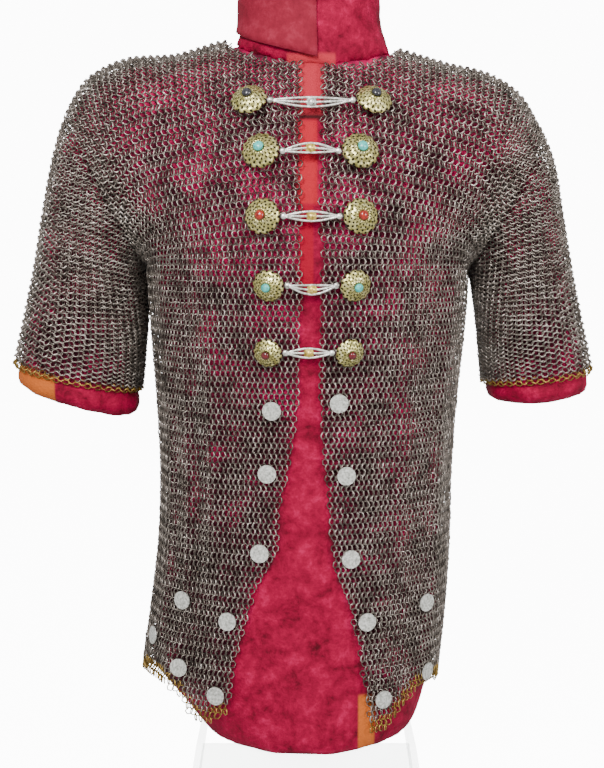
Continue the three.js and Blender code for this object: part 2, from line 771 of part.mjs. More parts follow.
// Where the front of the mail has a given x and z, with the way that its surface faces.
function frontPlace(side, x, z) {
  const pointAt = (angle, level) => {
    if (level <= 1) return archPoint(side, 'front', angle, level, 0);
    const height = CHEST_Z - (level - 1) * 500;
    return bodyPoint(side, angle, height, -foldLift(side, angle, height));
  };
  let angle = Math.asin(Math.min(Math.abs(x) / 180, 0.95));
  let level = z > CHEST_Z ? 0.6 : 1 + (CHEST_Z - z) / 500;
  const step = 1e-4;
  for (let i = 0; i < 30; i += 1) {
    const here = pointAt(angle, level);
    const acrossStep = pointAt(angle + step, level).sub(here).divideScalar(step);
    const downStep = pointAt(angle, level + step).sub(here).divideScalar(step);
    const missX = x - here.x;
    const missZ = z - here.z;
    const scale = acrossStep.x * downStep.z - acrossStep.z * downStep.x;
    angle += 0.7 * (missX * downStep.z - missZ * downStep.x) / scale;
    level += 0.7 * (missZ * acrossStep.x - missX * acrossStep.z) / scale;
  }
  const place = pointAt(angle, level);
  const across = pointAt(angle + 0.02, level).sub(pointAt(angle - 0.02, level));
  const down = pointAt(angle, level + 0.02).sub(pointAt(angle, level - 0.02));
  const facing = across.cross(down).normalize();
  if (facing.y > 0) facing.negate();
  return { place, facing };
}

// A turned piece whose axis is its own +Z, from [radius, height] pairs.
function turned(profile, sides) {
  const points = profile.map(([radius, height]) => new THREE.Vector2(radius, height));
  const geometry = new THREE.LatheGeometry(points, sides);
  geometry.rotateX(Math.PI / 2);
  geometry.deleteAttribute('uv');
  geometry.deleteAttribute('normal');
  return facingOut(withoutSlivers(mergeVertices(geometry, 1e-4)));
}

function placeFacing(mesh, place, facing) {
  mesh.position.copy(place);
  mesh.quaternion.setFromUnitVectors(new THREE.Vector3(0, 0, 1), facing);
}

const BOSS_SIDES = 16;
const bossHeight = (radius) => radius * BOSS_RISE;

// A domed boss with a flange, on a short shank that reaches down to the mail. standoff is the
// height of the flange over the mail's middle surface, and tilt how far the boss leans on it.
function bossGeometry(radius, standoff, tilt) {
  const stem = radius * 0.2;
  const shank = MAIL_WALL / 2 + 2 * SEAM + stem * Math.sin(tilt) - standoff;
  const rise = bossHeight(radius);
  return turned([
    [0, shank],
    [stem, shank],
    [stem, 0],
    [radius, 0],
    [radius, 1.6],
    [radius * 0.86, rise * 0.46],
    [radius * 0.6, rise * 0.8],
    [radius * 0.3, rise],
    [0, rise],
  ], BOSS_SIDES);
}

function stoneGeometry(radius) {
  return turned([
    [0, 0],
    [radius, 0],
    [radius * 0.94, radius * 0.42],
    [radius * 0.6, radius * 0.8],
    [0, radius * 0.95],
  ], 10);
}

BOSS_ROWS.forEach((row, i) => {
  for (const side of SIDES) {
    const { place, facing } = frontPlace(side, row[side], row.z);
    const lean = new THREE.Quaternion().setFromAxisAngle(
      new THREE.Vector3(0, 0, 1),
      degrees(signOf[side] * BOSS_OUTWARD_TILT),
    );
    const lift = new THREE.Quaternion().setFromAxisAngle(
      new THREE.Vector3(-1, 0, 0),
      degrees(row.lift),
    );
    const aim = facing.clone().applyQuaternion(lift).applyQuaternion(lean).normalize();
    const tilt = aim.angleTo(facing);
    const standoff = MAIL_WALL / 2 + BOSS_CLEARANCE + row.radius * Math.sin(tilt);
    const seat = place.clone().addScaledVector(facing, standoff);
    const boss = addPiece(`boss_${side}_${i + 1}`, bossGeometry(row.radius, standoff, tilt), 'boss');
    placeFacing(boss, seat, aim);
    const tip = seat.clone().addScaledVector(aim, bossHeight(row.radius) + SEAM);
    const stone = addPiece(`stone_${side}_${i + 1}`, stoneGeometry(row.radius * STONE_SHARE), row.stone);
    placeFacing(stone, tip, aim);
  }
});

// A blank disc on a small shank.
function discGeometry() {
  const half = DISC_THICKNESS / 2;
  const shank = MAIL_WALL / 2 + 2 * SEAM - DISC_STANDOFF;
  return turned([
    [0, shank],
    [1.8, shank],
    [1.8, -half],
    [DISC_RADIUS, -half],
    [DISC_RADIUS, half],
    [0, half],
  ], 16);
}

for (const side of SIDES) {
  DISCS[side].forEach((spot, i) => {
    const { place, facing } = frontPlace(side, spot.x, spot.z);
    const seat = place.clone().addScaledVector(facing, DISC_STANDOFF);
    placeFacing(addPiece(`disc_${side}_${i + 1}`, discGeometry(), 'silver'), seat, facing);
  });
}

// ---------------------------------------------------------------- clasps

const WIRE_ARC_PARTS = 3;
const WIRE_STEPS = 6;

// One bowed wire from start to end; bow lifts its middle and sag lowers it.
function wireGeometry(start, end, bow, sag) {
  const path = [];
  for (let i = 0; i <= WIRE_STEPS; i += 1) {
    const t = i / WIRE_STEPS;
    const point = start.clone().lerp(end, t);
    const arch = Math.sin(Math.PI * t);
    point.z += bow * arch - sag * arch;
    path.push(point);
  }
  const outline = new THREE.Shape();
  outline.absarc(0, 0, WIRE_RADIUS, 0, 2 * Math.PI, false);
  return new THREE.ExtrudeGeometry(outline, {
    extrudePath: new THREE.CatmullRomCurve3(path),
    steps: WIRE_STEPS,
    curveSegments: WIRE_ARC_PARTS,
    bevelEnabled: false,
  });
}

// A round piece facing forwards, centred on a point.
function roundelGeometry(radius, thickness, sides, centre) {
  const geometry = new THREE.CylinderGeometry(radius, radius, thickness, sides);
  geometry.translate(centre.x, centre.y, centre.z);
  return geometry;
}

// Three bowed wires that meet in a pad at each end, with a rosette in the middle.
function claspGeometry(row, i) {
  const ends = {};
  for (const side of SIDES) {
    const mesh = hauberk.getObjectByName(`boss_${side}_${i + 1}`);
    const rim = new THREE.Vector3(-signOf[side] * (row.radius + WIRE_RADIUS + 1.2), 0, 1.6);
    ends[side] = mesh.position.clone().add(rim);
    ends[side].y = mesh.position.y - 3.2;
  }
  const middle = ends.right.clone().lerp(ends.left, 0.5);
  middle.z -= row.sag;
  let clasp = null;
  for (const bow of [-WIRE_SPREAD, 0, WIRE_SPREAD]) {
    const wire = toManifold(wireGeometry(ends.right, ends.left, bow, row.sag));
    clasp = clasp ? clasp.add(wire) : wire;
  }
  for (const side of SIDES) {
    clasp = clasp.add(toManifold(roundelGeometry(2.4, 3.2, 10, ends[side])));
  }
  clasp = clasp.add(toManifold(roundelGeometry(ROSETTE_RADIUS, 4.4, 14, middle)));
  return fromManifold(clasp);
}

BOSS_ROWS.forEach((row, i) => {
  addPiece(`clasp_${i + 1}`, claspGeometry(row, i), 'silver');
});

// ---------------------------------------------------------------- plinth, a bent sheet open at the back

function rectangleLoop(width, depth, z) {
  return [
    new THREE.Vector3(-width, -depth, z),
    new THREE.Vector3(width, -depth, z),
    new THREE.Vector3(width, depth, z),
    new THREE.Vector3(-width, depth, z),
  ];
}

const plinthBottom = BASE_PLATE.height + SEAM;
const plinthTop = FORM_BOTTOM - SEAM;
const plinthAt = (grow) => loftSolid([
  rectangleLoop(PLINTH.bottomWidth + grow, PLINTH.bottomDepth + grow, plinthBottom - Math.max(-grow, 0)),
  rectangleLoop(PLINTH.topWidth + grow, PLINTH.topDepth + grow, plinthTop + Math.max(-grow, 0)),
]);
const openBack = new THREE.BoxGeometry(4 * PLINTH.bottomWidth, 2 * PLINTH.bottomDepth, 3 * plinthTop);
openBack.translate(0, PLINTH.bottomDepth + PLINTH.topDepth - PLINTH.wall, 0);
const plinthWalls = toManifold(plinthAt(0))
  .subtract(toManifold(plinthAt(-PLINTH.wall)))
  .subtract(toManifold(openBack));
addPiece('plinth_walls', fromManifold(plinthWalls), 'acrylic');

const plate = new THREE.Shape();
const halfPlate = { x: BASE_PLATE.width / 2, y: BASE_PLATE.depth / 2 };
const corner = BASE_PLATE.corner;
plate.moveTo(-halfPlate.x + corner, -halfPlate.y);
plate.lineTo(halfPlate.x - corner, -halfPlate.y);
plate.absarc(halfPlate.x - corner, -halfPlate.y + corner, corner, -Math.PI / 2, 0, false);
plate.absarc(halfPlate.x - corner, halfPlate.y - corner, corner, 0, Math.PI / 2, false);
plate.absarc(-halfPlate.x + corner, halfPlate.y - corner, corner, Math.PI / 2, Math.PI, false);
plate.absarc(-halfPlate.x + corner, -halfPlate.y + corner, corner, Math.PI, 1.5 * Math.PI, false);
addPiece('plinth_base', new THREE.ExtrudeGeometry(plate, {
  depth: BASE_PLATE.height,
  curveSegments: 6,
  bevelEnabled: false,
}), 'acrylic');

export default hauberk;
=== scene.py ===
# %% [markdown]
# # A mail shirt on a velvet dress form
# The real thing is a short coat of linked iron rings, shut at the chest by domed clasps, hung on a
# padded form covered in crushed velvet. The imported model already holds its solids. This script
# gives them their surfaces: real rings in place of plain walls, pile on the form, pierced domes.
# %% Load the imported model
import math
from functools import partial

import bmesh
import bpy
import numpy as np
from mathutils import Matrix, Vector, noise


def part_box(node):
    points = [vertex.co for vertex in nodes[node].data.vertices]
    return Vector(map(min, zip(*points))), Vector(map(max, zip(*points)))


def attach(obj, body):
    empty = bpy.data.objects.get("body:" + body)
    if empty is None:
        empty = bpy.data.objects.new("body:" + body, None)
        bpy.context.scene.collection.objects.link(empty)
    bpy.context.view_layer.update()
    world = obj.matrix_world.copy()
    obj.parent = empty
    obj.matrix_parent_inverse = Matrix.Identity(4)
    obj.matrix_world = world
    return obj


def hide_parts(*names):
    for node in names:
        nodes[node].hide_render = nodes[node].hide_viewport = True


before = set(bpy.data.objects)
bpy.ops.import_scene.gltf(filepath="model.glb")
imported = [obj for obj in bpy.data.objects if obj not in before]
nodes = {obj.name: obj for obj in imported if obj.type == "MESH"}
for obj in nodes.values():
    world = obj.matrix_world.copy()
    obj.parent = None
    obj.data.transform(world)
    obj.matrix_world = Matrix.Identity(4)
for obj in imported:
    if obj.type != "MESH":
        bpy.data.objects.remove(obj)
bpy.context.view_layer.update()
MM = 0.001

# %% [markdown]
# ## Camera
# The coat is seen straight on from about 1.3 m, from a little below the shoulders, and slightly
# down. The camera comes first, because every later choice of detail depends on what it sees.
# %% Camera
CAMERA_PLACE = (-0.0044, -1.3, 0.810)
CAMERA_PITCH = 6.99  # degrees below the horizon
CAMERA_LENS = 55.1  # millimetres, on a sensor 36 mm high
camera_data = bpy.data.cameras.new("camera")
camera_data.sensor_fit = "VERTICAL"
camera_data.sensor_height = 36
camera_data.lens = CAMERA_LENS
camera = bpy.data.objects.new("camera", camera_data)
camera.location = CAMERA_PLACE
camera.rotation_euler = (math.radians(90 - CAMERA_PITCH), 0, 0)
bpy.context.scene.collection.objects.link(camera)
bpy.context.scene.camera = camera
print("camera", CAMERA_PLACE, "lens", CAMERA_LENS)

# %% [markdown]
# ## Tools
# A colour is picked as the sRGB hex that a painter would read off a swatch, and the shader wants
# linear light, so one function converts it. One more function adds a node with its settings and
# its links, so that each material below reads as a list of what it is made of. The last two put
# finished meshes into the scene.
# %% Colours, nodes and pieces
def linear(hex_colour):
    """The linear RGBA of an sRGB hex colour such as 'c21f4f'."""
    out = []
    for i in (0, 2, 4):
        c = int(hex_colour[i:i + 2], 16) / 255
        out.append(c / 12.92 if c <= 0.04045 else ((c + 0.055) / 1.055) ** 2.4)
    return (*out, 1.0)


def add_node(tree, kind, links=None, values=None, **settings):
    """Adds a node: settings are its properties, values its sockets, links what feeds them."""
    made = tree.nodes.new("ShaderNode" + kind)
    for key, value in settings.items():
        setattr(made, key, value)
    for key, value in (values or {}).items():
        made.inputs[key].default_value = value
    for key, source in (links or {}).items():
        tree.links.new(source, made.inputs[key])
    return made


def new_material(name, **surface):
    """A material with one Principled shader; surface gives its socket values."""
    material = bpy.data.materials.new(name)
    material.use_nodes = True
    tree = material.node_tree
    shader = tree.nodes["Principled BSDF"]
    for key, value in surface.items():
        shader.inputs[key.replace("_", " ")].default_value = value
    return material, tree, shader


def calc(tree, operation, *parts):
    """One step of arithmetic over sockets and plain numbers."""
    made = add_node(tree, "Math", operation=operation)
    for socket, part in zip(made.inputs, parts):
        if isinstance(part, (int, float)):
            socket.default_value = part
        else:
            tree.links.new(part, socket)
    return made.outputs[0]


def object_noise(tree, scale, detail, roughness=0.5, distortion=0.0):
    """Noise fixed to the object, with patches about 1 / scale metres across."""
    return add_node(
        tree, "TexNoise", links={"Vector": add_node(tree, "TexCoord").outputs["Object"]},
        values={"Scale": scale, "Detail": detail, "Roughness": roughness, "Distortion": distortion},
    ).outputs["Fac"]


def remap(tree, value, low, high, to_low=0.0, to_high=1.0, smooth=False):
    """Carries low to to_low and high to to_high, and holds the ends."""
    return add_node(
        tree, "MapRange", links={"Value": value},
        interpolation_type="SMOOTHSTEP" if smooth else "LINEAR",
        values={"From Min": low, "From Max": high, "To Min": to_low, "To Max": to_high},
    ).outputs["Result"]


def blend(tree, share, colour, other):
    """Moves from one colour to another, which is a socket or a hex, as share goes to 1."""
    made = add_node(tree, "Mix", data_type="RGBA", links={"Factor": share, 6: colour})
    if isinstance(other, str):
        made.inputs[7].default_value = linear(other)
    else:
        tree.links.new(other, made.inputs[7])
    return made.outputs[2]


def ramp(tree, source, stops):
    """A colour ramp from (position, hex) pairs."""
    made = add_node(tree, "ValToRGB", links={"Fac": source})
    bar = made.color_ramp
    while len(bar.elements) < len(stops):
        bar.elements.new(0.5)
    for element, (position, hex_colour) in zip(bar.elements, stops):
        element.position = position
        element.color = linear(hex_colour)
    return made.outputs["Color"]


def relieve(tree, shader, height, strength, distance):
    """Raises a surface by a height, in metres at most, without moving its points."""
    bump = add_node(tree, "Bump", links={"Height": height}, values={
        "Strength": strength, "Distance": distance})
    tree.links.new(bump.outputs["Normal"], shader.inputs["Normal"])


def link_piece(name, data):
    """An object in the scene from a finished mesh or light."""
    piece = bpy.data.objects.new(name, data)
    bpy.context.scene.collection.objects.link(piece)
    return piece


def finish_piece(bm, name, material, smooth=True):
    """Turns mesh code into an object with one material."""
    for f in bm.faces:
        f.smooth = smooth
    mesh = bpy.data.meshes.new(name)
    bm.to_mesh(mesh)
    bm.free()
    mesh.materials.append(material)
    return link_piece(name, mesh)


print("crimson in linear light", [round(c, 3) for c in linear("c21f4f")])

# %% [markdown]
# ## Iron and brass wire
# The body of the coat is riveted iron wire, blackened and worn, so a ring shows a thin bright line
# on a brown-grey ground. The border rows are brass, dulled to ochre. Each ring carries a number of
# its own, called tone, that makes one ring lighter or rustier than the next, which is what keeps
# twenty thousand rings from looking printed.
# %% Ring materials
RUST_SCALE = 40.0  # soot and rust gather in patches some 25 mm wide
RUST_SHARE = 0.5  # how far the patches shift a ring's tone


def ring_material(name, stops, roughness):
    material, tree, shader = new_material(name, Metallic=0.85, Roughness=roughness)
    tone = add_node(tree, "Attribute", attribute_name="tone").outputs["Fac"]
    mixed = calc(tree, "MULTIPLY_ADD", object_noise(tree, RUST_SCALE, 3.0), RUST_SHARE, tone)
    shifted = calc(tree, "SUBTRACT", mixed, RUST_SHARE / 2)
    tree.links.new(ramp(tree, shifted, stops), shader.inputs["Base Color"])
    return material


iron = ring_material(
    "blackened_iron_wire",
    [(0.0, "312b27"), (0.3, "6a625a"), (0.65, "a49b92"), (1.0, "dcd6cf")], 0.40,
)
brass_wire = ring_material(
    "dulled_brass_wire",
    [(0.0, "5a4420"), (0.4, "8f7338"), (0.75, "b4944c"), (1.0, "d2b872")], 0.42,
)
print("ring materials", iron.name, brass_wire.name)

# %% [markdown]
# ## The cut of the coat
# These are the same short tables that the solids were made from, in millimetres: level sections
# of the body, the line over the shoulder and down the sleeve, the front edges and the hem. Rings
# have to lie exactly where the walls lie, so they are laid out on the same surface.
# %% Tables of the cut
CHEST_Z = 785.0
ARMHOLE_RUN = 290.0
SHOULDER_DEPTH = 74.0
NECK_HOLE = {"x": 6, "y": -3, "half_width": 92, "half_depth": 64, "power": 2.6}
SIGN = {"right": -1.0, "left": 1.0}
# z, sideways shift, half breadth, depth in front, depth behind
BODY_SECTIONS = np.array([
    (240, -19, 166, 107, 98), (320, -18, 167, 107, 98), (400, -9, 165, 104, 94),
    (480, -2, 162, 101, 86), (560, 0, 161, 100, 80), (640, 1, 165, 105, 84),
    (715, 2, 171, 115, 94), (CHEST_Z, 2, 175, 122, 100),
], float)
# x, z along the top of the shoulder and down the outside of the sleeve
SHOULDER_LINE = {
    "right": [(4, 1031), (-83, 1021), (-140, 1006), (-190, 1002), (-226, 987), (-247, 964),
              (-267, 918), (-282, 856), (-298, 774), (-323, 670)],
    "left": [(4, 1031), (97, 1012), (150, 997), (195, 986), (226, 967), (246, 938),
             (265, 898), (277, 840), (292, 765), (316, 664)],
}
# x, z along the inside of the sleeve
UNDERARM_LINE = {
    "right": [(-176.6, 786), (-177, 719), (-184, 643)],
    "left": [(180.6, 786), (190, 722), (197, 652)],
}
SLEEVE_DEPTHS = np.array([(0, SHOULDER_DEPTH), (0.5, 69), (1, 63), (1.2, 61)], float)
# z, place of the right edge, place of the left edge
FRONT_EDGES = np.array([
    (262, -86, 72), (311, -83, 65), (360, -76, 58), (413, -61, 48), (449, -52, 36), (479, -31, 27),
    (534, -27, 23), (579, -17, 18), (634, -9, 14), (700, -6, 13), (CHEST_Z, -5, 13),
], float)
# angle from the centre front, hem on the right, hem on the left
HEM_LINE = np.array([
    (0, 303, 272), (27, 301, 275), (33, 290, 279), (40, 299, 285), (47, 319, 302), (60, 329, 320),
    (90, 322, 314), (135, 308, 308), (180, 303, 303),
], float)
# angle, spread, height, bottom, top of each soft upright fold
BODY_FOLDS = {
    "right": [(38, 5, 4.0, 420, 770), (51, 5, 5.0, 380, 740), (63, 5, 4.5, 340, 690),
              (52, 6, 6.0, 290, 400), (112, 7, 4.0, 320, 700), (138, 8, 4.5, 300, 640),
              (163, 7, 3.5, 330, 600)],
    "left": [(41, 6, 3.0, 430, 700), (60, 6, 4.0, 360, 720), (108, 7, 4.0, 330, 690),
             (130, 8, 4.0, 300, 660), (156, 8, 4.5, 310, 560)],
}
print("body sections", len(BODY_SECTIONS), "folds", sum(len(v) for v in BODY_FOLDS.values()))

# %% [markdown]
# ## The surface that the rings lie on
# A smooth curve runs through each table. Below the arms the coat is a tube of level sections.
# Above them it is an arch that falls from the shoulder line, and each sleeve is a tube that hangs
# from the same line. The functions take whole arrays, because every ring asks for its place.
# %% Curves and surfaces
def curve_through(keys, values):
    """A smooth curve through a table: Hermite pieces whose slopes look one row each way."""
    keys, values = np.asarray(keys, float), np.asarray(values, float)
    last = len(keys) - 1
    low = np.maximum(np.arange(last + 1) - 1, 0)
    high = np.minimum(np.arange(last + 1) + 1, last)
    slopes = (values[high] - values[low]) / (keys[high] - keys[low])

    def at(x):
        x = np.asarray(x, float)
        i = np.clip(np.searchsorted(keys, x, side="left") - 1, 0, last - 1)
        span = keys[i + 1] - keys[i]
        t = np.clip((x - keys[i]) / span, -0.5, 1.5)
        start = (2 * t**3 - 3 * t**2 + 1) * values[i] + (t**3 - 2 * t**2 + t) * span * slopes[i]
        end = (3 * t**2 - 2 * t**3) * values[i + 1] + (t**3 - t**2) * span * slopes[i + 1]
        return start + end

    return at


def line_through(points):
    """x and z along a line of points as functions of the distance run, and its whole length."""
    points = np.asarray(points, float)
    runs = np.concatenate([[0], np.cumsum(np.hypot(*np.diff(points, axis=0).T))])
    return curve_through(runs, points[:, 0]), curve_through(runs, points[:, 1]), runs[-1]


body_shift, body_width = (curve_through(BODY_SECTIONS[:, 0], BODY_SECTIONS[:, k]) for k in (1, 2))
body_depth = {
    "front": curve_through(BODY_SECTIONS[:, 0], BODY_SECTIONS[:, 3]),
    "back": curve_through(BODY_SECTIONS[:, 0], BODY_SECTIONS[:, 4]),
}
sleeve_depth = curve_through(SLEEVE_DEPTHS[:, 0], SLEEVE_DEPTHS[:, 1])
shoulder = {side: line_through(SHOULDER_LINE[side]) for side in SIGN}
underarm = {side: line_through(UNDERARM_LINE[side]) for side in SIGN}
front_edge = {side: curve_through(FRONT_EDGES[:, 0], FRONT_EDGES[:, k])
              for side, k in (("right", 1), ("left", 2))}
hem_height = {side: curve_through(HEM_LINE[:, 0], HEM_LINE[:, k])
              for side, k in (("right", 1), ("left", 2))}


def fold_lift(side, angle, z):
    """How far the soft upright folds lift the cloth off the body, in mm."""
    lift = np.zeros(np.broadcast(angle, z).shape)
    for at, spread, height, bottom, top in BODY_FOLDS[side]:
        across = (np.degrees(angle) - at) / spread
        along = np.clip((z - bottom) / (top - bottom), 0, 1)
        lift = lift + height * np.exp(-across**2) * np.sin(math.pi * along)
    return lift


def body_point(side, angle, z, inset):
    """angle: 0 at the centre front, pi / 2 at the side, pi at the centre back."""
    inset = inset - fold_lift(side, angle, z)
    front = body_depth["front"](z)
    depth = np.where(angle <= math.pi / 2, front, body_depth["back"](z)) - inset
    x = body_shift(z) + SIGN[side] * (body_width(z) - inset) * np.sin(angle)
    return np.stack([x, -depth * np.cos(angle), z + 0 * x], axis=-1)


# %% [markdown]
# Above the chest, each column of rings starts at an even share of the way round the body, so the
# share has to be known for an angle, and the angle for a share.
# %% Shares round the quarter section
SHARE_STEPS = 240
quarter_angles = np.linspace(0, math.pi / 2, SHARE_STEPS + 1)


def quarter_table(face):
    middle = (quarter_angles[1:] + quarter_angles[:-1]) / 2
    width, depth = body_width(CHEST_Z), body_depth[face](CHEST_Z)
    piece = np.hypot(width * np.cos(middle), depth * np.sin(middle))
    reached = np.concatenate([[0], np.cumsum(piece)])
    return reached / reached[-1], reached[-1]


quarter_shares = {face: quarter_table(face) for face in ("front", "back")}


def angle_of_share(face, share):
    return np.interp(share, quarter_shares[face][0], quarter_angles)


def arch_point(side, face, share, drop, inset):
    """share: 0 at the centre, 1 at the armhole. drop: 0 on the shoulder line, 1 at CHEST_Z."""
    spread = angle_of_share(face, share)
    line_x, line_z, _ = shoulder[side]
    top_x, top_z = line_x(share * ARMHOLE_RUN), line_z(share * ARMHOLE_RUN)
    depth = body_depth[face](CHEST_Z)
    foot_x = body_shift(CHEST_Z) + SIGN[side] * (body_width(CHEST_Z) - inset) * np.sin(spread)
    up_x, up_z = top_x - foot_x, top_z - CHEST_Z
    length = np.hypot(up_x, up_z)
    up_x, up_z = up_x / length, up_z / length
    top_x, top_z = top_x - inset * up_x, top_z - inset * up_z
    reach = depth * (1 - (1 - SHOULDER_DEPTH / depth) * np.sin(spread) ** 2) - inset
    turn = math.pi - np.arcsin(np.clip((depth - inset) * np.cos(spread) / reach, 0, 1))
    height = np.hypot(top_x - foot_x, top_z - CHEST_Z) / (1 - np.cos(turn))
    fall = height * (1 - np.cos(drop * turn))
    forward = (-1 if face == "front" else 1) * reach * np.sin(drop * turn)
    return np.stack([top_x - up_x * fall, forward, top_z - up_z * fall], axis=-1)


def sleeve_point(side, share, turn, inset):
    """share: 0 at the armhole, 1 at the cuff. turn: 0 outside, pi / 2 in front, pi underneath."""
    line_x, line_z, length = shoulder[side]
    run = ARMHOLE_RUN + share * (length - ARMHOLE_RUN)
    inner_x, inner_z, inner_length = underarm[side]
    ax, az = line_x(run), line_z(run)
    bx, bz = inner_x(share * inner_length), inner_z(share * inner_length)
    half = np.hypot(ax - bx, az - bz) / 2
    scale = (half - inset) / half / 2
    x = (ax + bx) / 2 + (ax - bx) * scale * np.cos(turn)
    z = (az + bz) / 2 + (az - bz) * scale * np.cos(turn)
    return np.stack([x, -(sleeve_depth(share) - inset) * np.sin(turn), z], axis=-1)


print("half round the chest", round(sum(quarter_shares[f][1] for f in quarter_shares)), "mm")

# %% [markdown]
# ## One ring
# A riveted ring is a short piece of round wire bent into a circle. Modelled on its own it is a
# small circle spun about an axis. It is repeated more than twenty thousand times, so the wire has
# only three sides and the circle six, and smooth shading rounds it. Drawn wire could be far finer
# than the camera can see, and this thickness matches what the eye reads at this distance.
# %% Ring template
RING_OUTER = 9.4  # mm across
RING_WIRE = 1.6  # mm thick
RING_BENDS = 6
WIRE_SIDES = 3


def ring_template(outer, wire):
    bm = bmesh.new()
    bmesh.ops.create_circle(bm, segments=WIRE_SIDES, radius=wire / 2)
    bmesh.ops.rotate(bm, verts=bm.verts, matrix=Matrix.Rotation(math.pi / 2, 3, "X"))
    bmesh.ops.translate(bm, verts=bm.verts, vec=((outer - wire) / 2, 0, 0))
    bmesh.ops.spin(
        bm, geom=bm.verts[:] + bm.edges[:], axis=(0, 0, 1), cent=(0, 0, 0),
        angle=2 * math.pi, steps=RING_BENDS, use_merge=True,
    )
    bmesh.ops.remove_doubles(bm, verts=bm.verts, dist=1e-4)
    bmesh.ops.recalc_face_normals(bm, faces=bm.faces)
    corners = np.array([v.co[:] for v in bm.verts])
    faces = np.array([[v.index for v in f.verts] for f in bm.faces])
    bm.free()
    return corners, faces


ring_corners, ring_faces = ring_template(RING_OUTER, RING_WIRE)
print("one ring:", len(ring_corners), "corners,", 2 * len(ring_faces), "triangles")

# %% [markdown]
# ## Many rings
# In a mail weave each ring passes through four others: two in the row above and two below. Rows
# alternate their lean, like bricks that nod left, then right. So a ring needs its place, the way
# the cloth faces there, the way its row runs, and which of the two leans it has. The joined mesh
# is filled from arrays, since operators would take minutes over so many small copies.
# %% Laying rings on a surface
LEAN = math.radians(38)
# How unevenly real rings lie: spreads of the lean and nod (radians), the place (mm) and the size.
LEAN_SPREAD, NOD_SPREAD, PLACE_SPREAD, SIZE_SPREAD = 0.07, 0.05, 0.18, 0.03
TONE_MIDDLE, TONE_SPREAD = 0.42, 0.11
ALONG_STEP = 1e-3  # columns, for the direction of a row
INWARD_STEP = 2.0  # mm, for the direction that the cloth faces
randoms = np.random.default_rng(7)


def normalise(v):
    return v / np.linalg.norm(v, axis=-1, keepdims=True)


def ring_frames(surface, along_row, across_rows):
    """Place, row direction and outward direction of the cloth at each ring."""
    place = surface(along_row, across_rows, 0.0)
    ahead = surface(along_row + ALONG_STEP, across_rows, 0.0)
    behind = surface(along_row - ALONG_STEP, across_rows, 0.0)
    row = normalise(ahead - behind)
    out = place - surface(along_row, across_rows, INWARD_STEP)
    out = normalise(out - row * np.sum(out * row, axis=-1, keepdims=True))
    return place, row, out


def joined_rings(name, place, row, out, odd, material, loose=None):
    """One mesh of rings. odd says which rows lean the other way; loose scatters some more."""
    count = len(place)
    wander = np.ones((count, 1)) if loose is None else 1 + loose[:, None]
    way = np.where(odd, -1.0, 1.0)[:, None]
    lean = way * LEAN + randoms.normal(0, LEAN_SPREAD, count)[:, None] * wander
    nod = randoms.normal(0, NOD_SPREAD, count)[:, None] * wander
    place = place + randoms.normal(0, PLACE_SPREAD, (count, 3)) * wander
    down = np.cross(out, row)
    face = normalise(out * np.cos(lean) + row * np.sin(lean) + down * nod)
    side = normalise(row - face * np.sum(row * face, axis=-1, keepdims=True))
    other = np.cross(face, side)
    spin = randoms.uniform(0, 2 * math.pi, count)[:, None]
    side, other = (
        side * np.cos(spin) + other * np.sin(spin),
        other * np.cos(spin) - side * np.sin(spin),
    )
    size = randoms.normal(1.0, SIZE_SPREAD, count).clip(0.9, 1.1)[:, None, None]
    axes = np.stack([side, other, face], axis=1)
    points = place[:, None, :] + size * np.einsum("kc,ncd->nkd", ring_corners, axes)
    faces = ring_faces[None] + (np.arange(count) * len(ring_corners))[:, None, None]
    return mesh_from_arrays(name, points.reshape(-1, 3) * MM, faces.reshape(-1, 4), count, material)


def mesh_from_arrays(name, points, faces, count, material):
    mesh = bpy.data.meshes.new(name)
    mesh.vertices.add(len(points))
    mesh.vertices.foreach_set("co", points.ravel())
    mesh.loops.add(faces.size)
    mesh.loops.foreach_set("vertex_index", faces.ravel().astype(np.int32))
    mesh.polygons.add(len(faces))
    mesh.polygons.foreach_set("loop_start", np.arange(0, faces.size, 4, dtype=np.int32))
    mesh.polygons.foreach_set("use_smooth", np.ones(len(faces), bool))
    mesh.update(calc_edges=True)
    tone = mesh.attributes.new("tone", "FLOAT", "POINT")
    tones = randoms.normal(TONE_MIDDLE, TONE_SPREAD, count).clip(0, 1)
    tone.data.foreach_set("value", np.repeat(tones, len(ring_corners)))
    mesh.materials.append(material)
    print(name, "rings", count, "triangles", 2 * len(faces))
    return link_piece(name, mesh)


def rows_and_columns(rows, columns):
    """Every ring of a patch: its row number, its place along the row in columns, and its lean."""
    row = np.repeat(np.arange(rows), columns)
    column = np.tile(np.arange(columns), rows) + np.where(row % 2 == 1, 0.5, 0.0)
    return row, column, row % 2 == 1


# %% [markdown]
# ## Body of the coat
# Below the arms the rows are level rings of wire round the body, thirty-nine to a quarter, cut off
# along the front edge and the hem in small steps, as a mail maker drops rings at the end of a row.
# Above the arms the same columns go on up over the chest and back to the shoulder line.
# %% Rows and columns of the body
QUARTER_COLUMNS = 39
ROW_PITCH = 5.75  # mm between rows
ARCH_ROWS = {"front": 50, "back": 47}
TUBE_ROWS = 88
BORDER_HEM = 19.0  # mm of brass rings at the hem
BORDER_CUFF = 7.0  # and at the cuffs
SLIT_CLEARANCE = 1.5  # mm from the front edge to the nearest ring's middle
HEM_CLEARANCE = RING_OUTER / 2 - 1


def tube_surface(side, face):
    def surface(column, row, inset):
        spread = angle_of_share(face, column / QUARTER_COLUMNS)
        angle = spread if face == "front" else math.pi - spread
        return body_point(side, angle, CHEST_Z - (row + 0.5) * ROW_PITCH, inset)

    return surface


def arch_surface(side, face):
    def surface(column, row, inset):
        drop = 1 - (row + 0.5) / ARCH_ROWS[face]
        return arch_point(side, face, column / QUARTER_COLUMNS, drop, inset)

    return surface


